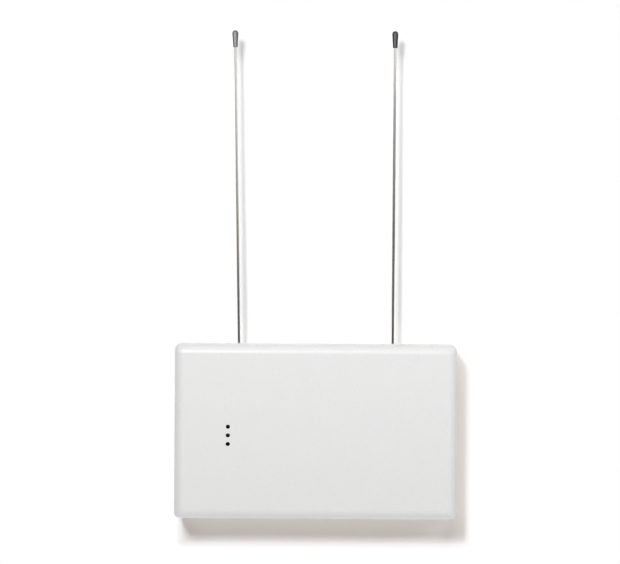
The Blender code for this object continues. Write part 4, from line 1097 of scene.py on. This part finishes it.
def board_finish(scene):
    """Solder mask over a web of copper tracks."""
    colours = scene.bridge_colours
    finish, tree, shader = new_finish("board_laminate")
    where = object_place(tree)
    cells = node(
        tree, "TexVoronoi", {"Vector": where, "Scale": 320.0},
        feature="DISTANCE_TO_EDGE", distance="EUCLIDEAN",
    ).outputs["Distance"]
    tracks = spread(tree, cells, 1, 0, 0.04, 0.07)
    tinted = mix(tree, tracks, shade(colours.laminate), shade(colours.copper))
    tree.links.new(tinted, shader.inputs["Base Color"])
    fine = noise(tree, where, 2500)
    tree.links.new(spread(tree, fine, 0.3, 0.42), shader.inputs["Roughness"])
    bumped(tree, shader, tracks, 0.3, 0.00003)
    return finish


class BRIDGE_OT_stage(bpy.types.Operator):
    """Sets the pale wall, the soft studio lights and the camera"""

    bl_idname = "bridge.stage"
    bl_label = "Stage"

    def execute(self, context):
        scene = context.scene
        size = scene.bridge_stage
        scene.view_settings.view_transform = "Standard"
        deselect()
        bpy.ops.mesh.primitive_plane_add(
            size=size.wall_size, location=(0, size.wall_gap, 0), rotation=(math.radians(90), 0, 0)
        )
        wall = context.object
        wall.name = "pale_wall"
        wall.data.materials.append(wall_finish(scene))
        world_light(scene, size)
        add_lamp("key_light", size.key_place, size.key_size, size.key)
        for soft in (
            add_lamp("top_light", size.top_place, size.top_size, size.top),
            add_lamp("side_light", size.side_place, size.side_size, size.side),
        ):
            soft.visible_glossy = False
        deselect()
        bpy.ops.object.camera_add(
            location=size.camera, rotation=(math.radians(90), -size.roll, 0)
        )
        camera = context.object
        camera.name = "front_camera"
        camera.data.lens = size.lens
        camera.data.clip_end = 30
        scene.camera = camera
        return {"FINISHED"}


def seen_rays(tree):
    """One for what the camera sees, also in a mirror or through glass."""
    path = node(tree, "LightPath").outputs
    seen = path["Is Camera Ray"]
    for name in ("Is Glossy Ray", "Is Transmission Ray"):
        seen = reckon(tree, "MAXIMUM", seen, path[name])
    return seen


def wall_finish(scene):
    """White paint that shows the object's shadow, with painted shade by the tips and a painted glow
    in the shadows, plain white past it and clear from behind.
    """
    housing, size = scene.bridge_housing, scene.bridge_stage
    finish, tree, shader = new_finish("pale_wall_paint")
    tree.nodes.remove(shader)
    up = node(tree, "SeparateXYZ", {0: object_place(tree)}).outputs["Y"]
    tips, top = LEFT_TIP_LOW.z, housing.height / 2
    # painted shade: the paint turns darker by the tips, where the main light is nearer
    tip_shade = spread(tree, up, 0, 1, *[tips + step for step in TIP_SHADE_TURN])
    white = mix(tree, tip_shade, shade(size.paint_low), shade(size.paint_shaded_by_tips))
    paint = node(tree, "BsdfDiffuse", {"Color": white}).outputs["BSDF"]
    # painted light: a glow from the paint lifts the shadows, warm round the housing, neutral by the
    # whips
    by_whips = spread(tree, up, 0, 1, *[top + step for step in GLOW_TURN])
    left_over = mix(tree, by_whips, shade(size.glow_low), shade(size.glow_high))
    glow = node(tree, "Emission", {"Color": left_over, "Strength": size.glow}).outputs[0]
    lit = node(tree, "AddShader", {0: paint, 1: glow}).outputs[0]
    plain = node(tree, "Emission", {"Color": (1, 1, 1, 1), "Strength": 1.0}).outputs[0]
    away = spread(tree, past_shadows(tree, housing), 0, 1, 0.0, SHADOW_FADE)
    front = node(tree, "MixShader", {0: away, 1: lit, 2: plain}).outputs[0]
    clear = node(tree, "BsdfTransparent").outputs[0]
    shown = node(tree, "MixShader", {0: seen_rays(tree), 1: clear, 2: front}).outputs[0]
    behind = node(tree, "NewGeometry").outputs["Backfacing"]
    whole = node(tree, "MixShader", {0: behind, 1: shown, 2: clear}).outputs[0]
    tree.links.new(whole, tree.nodes["Material Output"].inputs["Surface"])
    return finish


def past_shadows(tree, housing):
    """The distance outside a rectangle of the wall that holds the object and its shadow."""
    half_width, half_height = housing.width / 2, housing.height / 2
    low = Vector((-half_width + SHADOW_LEFT, -half_height - SHADOW_BELOW, 0))
    high = Vector((half_width + SHADOW_RIGHT, CAD_BOX[1].z + SHADOW_ABOVE, 0))
    where = object_place(tree, location=-(low + high) / 2)
    across = reckon_vector(tree, "ABSOLUTE", where)[0]
    past = reckon_vector(tree, "SUBTRACT", across, (high - low) / 2)[0]
    outside = reckon_vector(tree, "MAXIMUM", past, (0, 0, 0))[0]
    return reckon_vector(tree, "LENGTH", outside)["Value"]


def towards(tree, direction, axis, sharpness, strength):
    """Light that is strongest from one side of the room."""
    side = Vector(axis).normalized()
    cosine = reckon_vector(tree, "DOT_PRODUCT", direction, side)["Value"]
    lobe = reckon(tree, "POWER", reckon(tree, "MAXIMUM", cosine, 0.0), sharpness)
    return reckon(tree, "MULTIPLY", lobe, strength)


def world_light(scene, size):
    """White where it is seen, a soft room for matt surfaces and a banded one for bright metal."""
    world = bpy.data.worlds.new("studio")
    scene.world = world
    world.use_nodes = True
    tree = world.node_tree
    background = tree.nodes["Background"]
    path = node(tree, "LightPath").outputs
    direction = node(tree, "TexCoord").outputs["Generated"]
    parts = node(tree, "SeparateXYZ", {0: direction}).outputs
    behind = reckon(tree, "GREATER_THAN", parts["Y"], 0.0)
    room = reckon(tree, "MULTIPLY", behind, size.room_back)
    for axis, sharpness, strength in (
        ((0, 0, -1), 2, size.room_floor),
        ((0, -1, -1), 4, size.room_low),
        ((1, 0, 0), 2, size.room_right),
    ):
        room = reckon(tree, "ADD", room, towards(tree, direction, axis, sharpness, strength))
    rise = spread(tree, parts["Z"], size.shine_low, size.shine_high, *SHINE_RISE,
                  interpolation_type="SMOOTHSTEP")
    wall_side = spread(tree, parts["Y"], 0, size.shine_wall, *SHINE_BACK)
    left_dark = spread(tree, parts["X"], size.shine_left, 1.0, *SHINE_LEFT)
    shine = reckon(tree, "MULTIPLY", reckon(tree, "MAXIMUM", rise, wall_side), left_dark)
    strength = blend(tree, path["Is Glossy Ray"], room, shine)
    seen = reckon(tree, "MAXIMUM", path["Is Camera Ray"], path["Is Transmission Ray"])
    tree.links.new(blend(tree, seen, strength, 1.0), background.inputs["Strength"])
    background.inputs["Color"].default_value = (1, 1, 1, 1)


def add_lamp(name, where, width, watts):
    """A soft round light turned to the middle of the housing's back."""
    deselect()
    bpy.ops.object.light_add(type="AREA", location=where)
    lamp = bpy.context.object
    lamp.name = name
    lamp.data.shape = "DISK"
    lamp.data.size = width
    lamp.data.energy = watts
    lamp.rotation_euler = (-Vector(where)).to_track_quat("-Z", "Y").to_euler()
    return lamp


class BRIDGE_PT_pieces(bpy.types.Panel):
    """Lists the pieces and the stage"""

    bl_label = "Sensor bridge"
    bl_idname = "BRIDGE_PT_pieces"
    bl_space_type = "VIEW_3D"
    bl_region_type = "UI"
    bl_category = "Bridge"

    def draw(self, context):
        for operator in OPERATORS:
            self.layout.operator(operator.bl_idname)


OPERATORS = (
    BRIDGE_OT_front_cover,
    BRIDGE_OT_rear_housing,
    BRIDGE_OT_whips,
    BRIDGE_OT_lamps,
    BRIDGE_OT_inside,
    BRIDGE_OT_stage,
)


def register():
    for name, group in GROUPS:
        bpy.utils.register_class(group)
        setattr(bpy.types.Scene, name, bpy.props.PointerProperty(type=group))
    for item in (*OPERATORS, BRIDGE_PT_pieces):
        bpy.utils.register_class(item)


def unregister():
    for item in reversed((*OPERATORS, BRIDGE_PT_pieces)):
        bpy.utils.unregister_class(item)
    for name, group in reversed(GROUPS):
        delattr(bpy.types.Scene, name)
        bpy.utils.unregister_class(group)


def main():
    register()
    bpy.ops.bridge.front_cover()
    bpy.ops.bridge.rear_housing()
    bpy.ops.bridge.whips()
    bpy.ops.bridge.lamps()
    bpy.ops.bridge.inside()
    bpy.ops.bridge.stage()


if __name__ == "__main__":
    main()
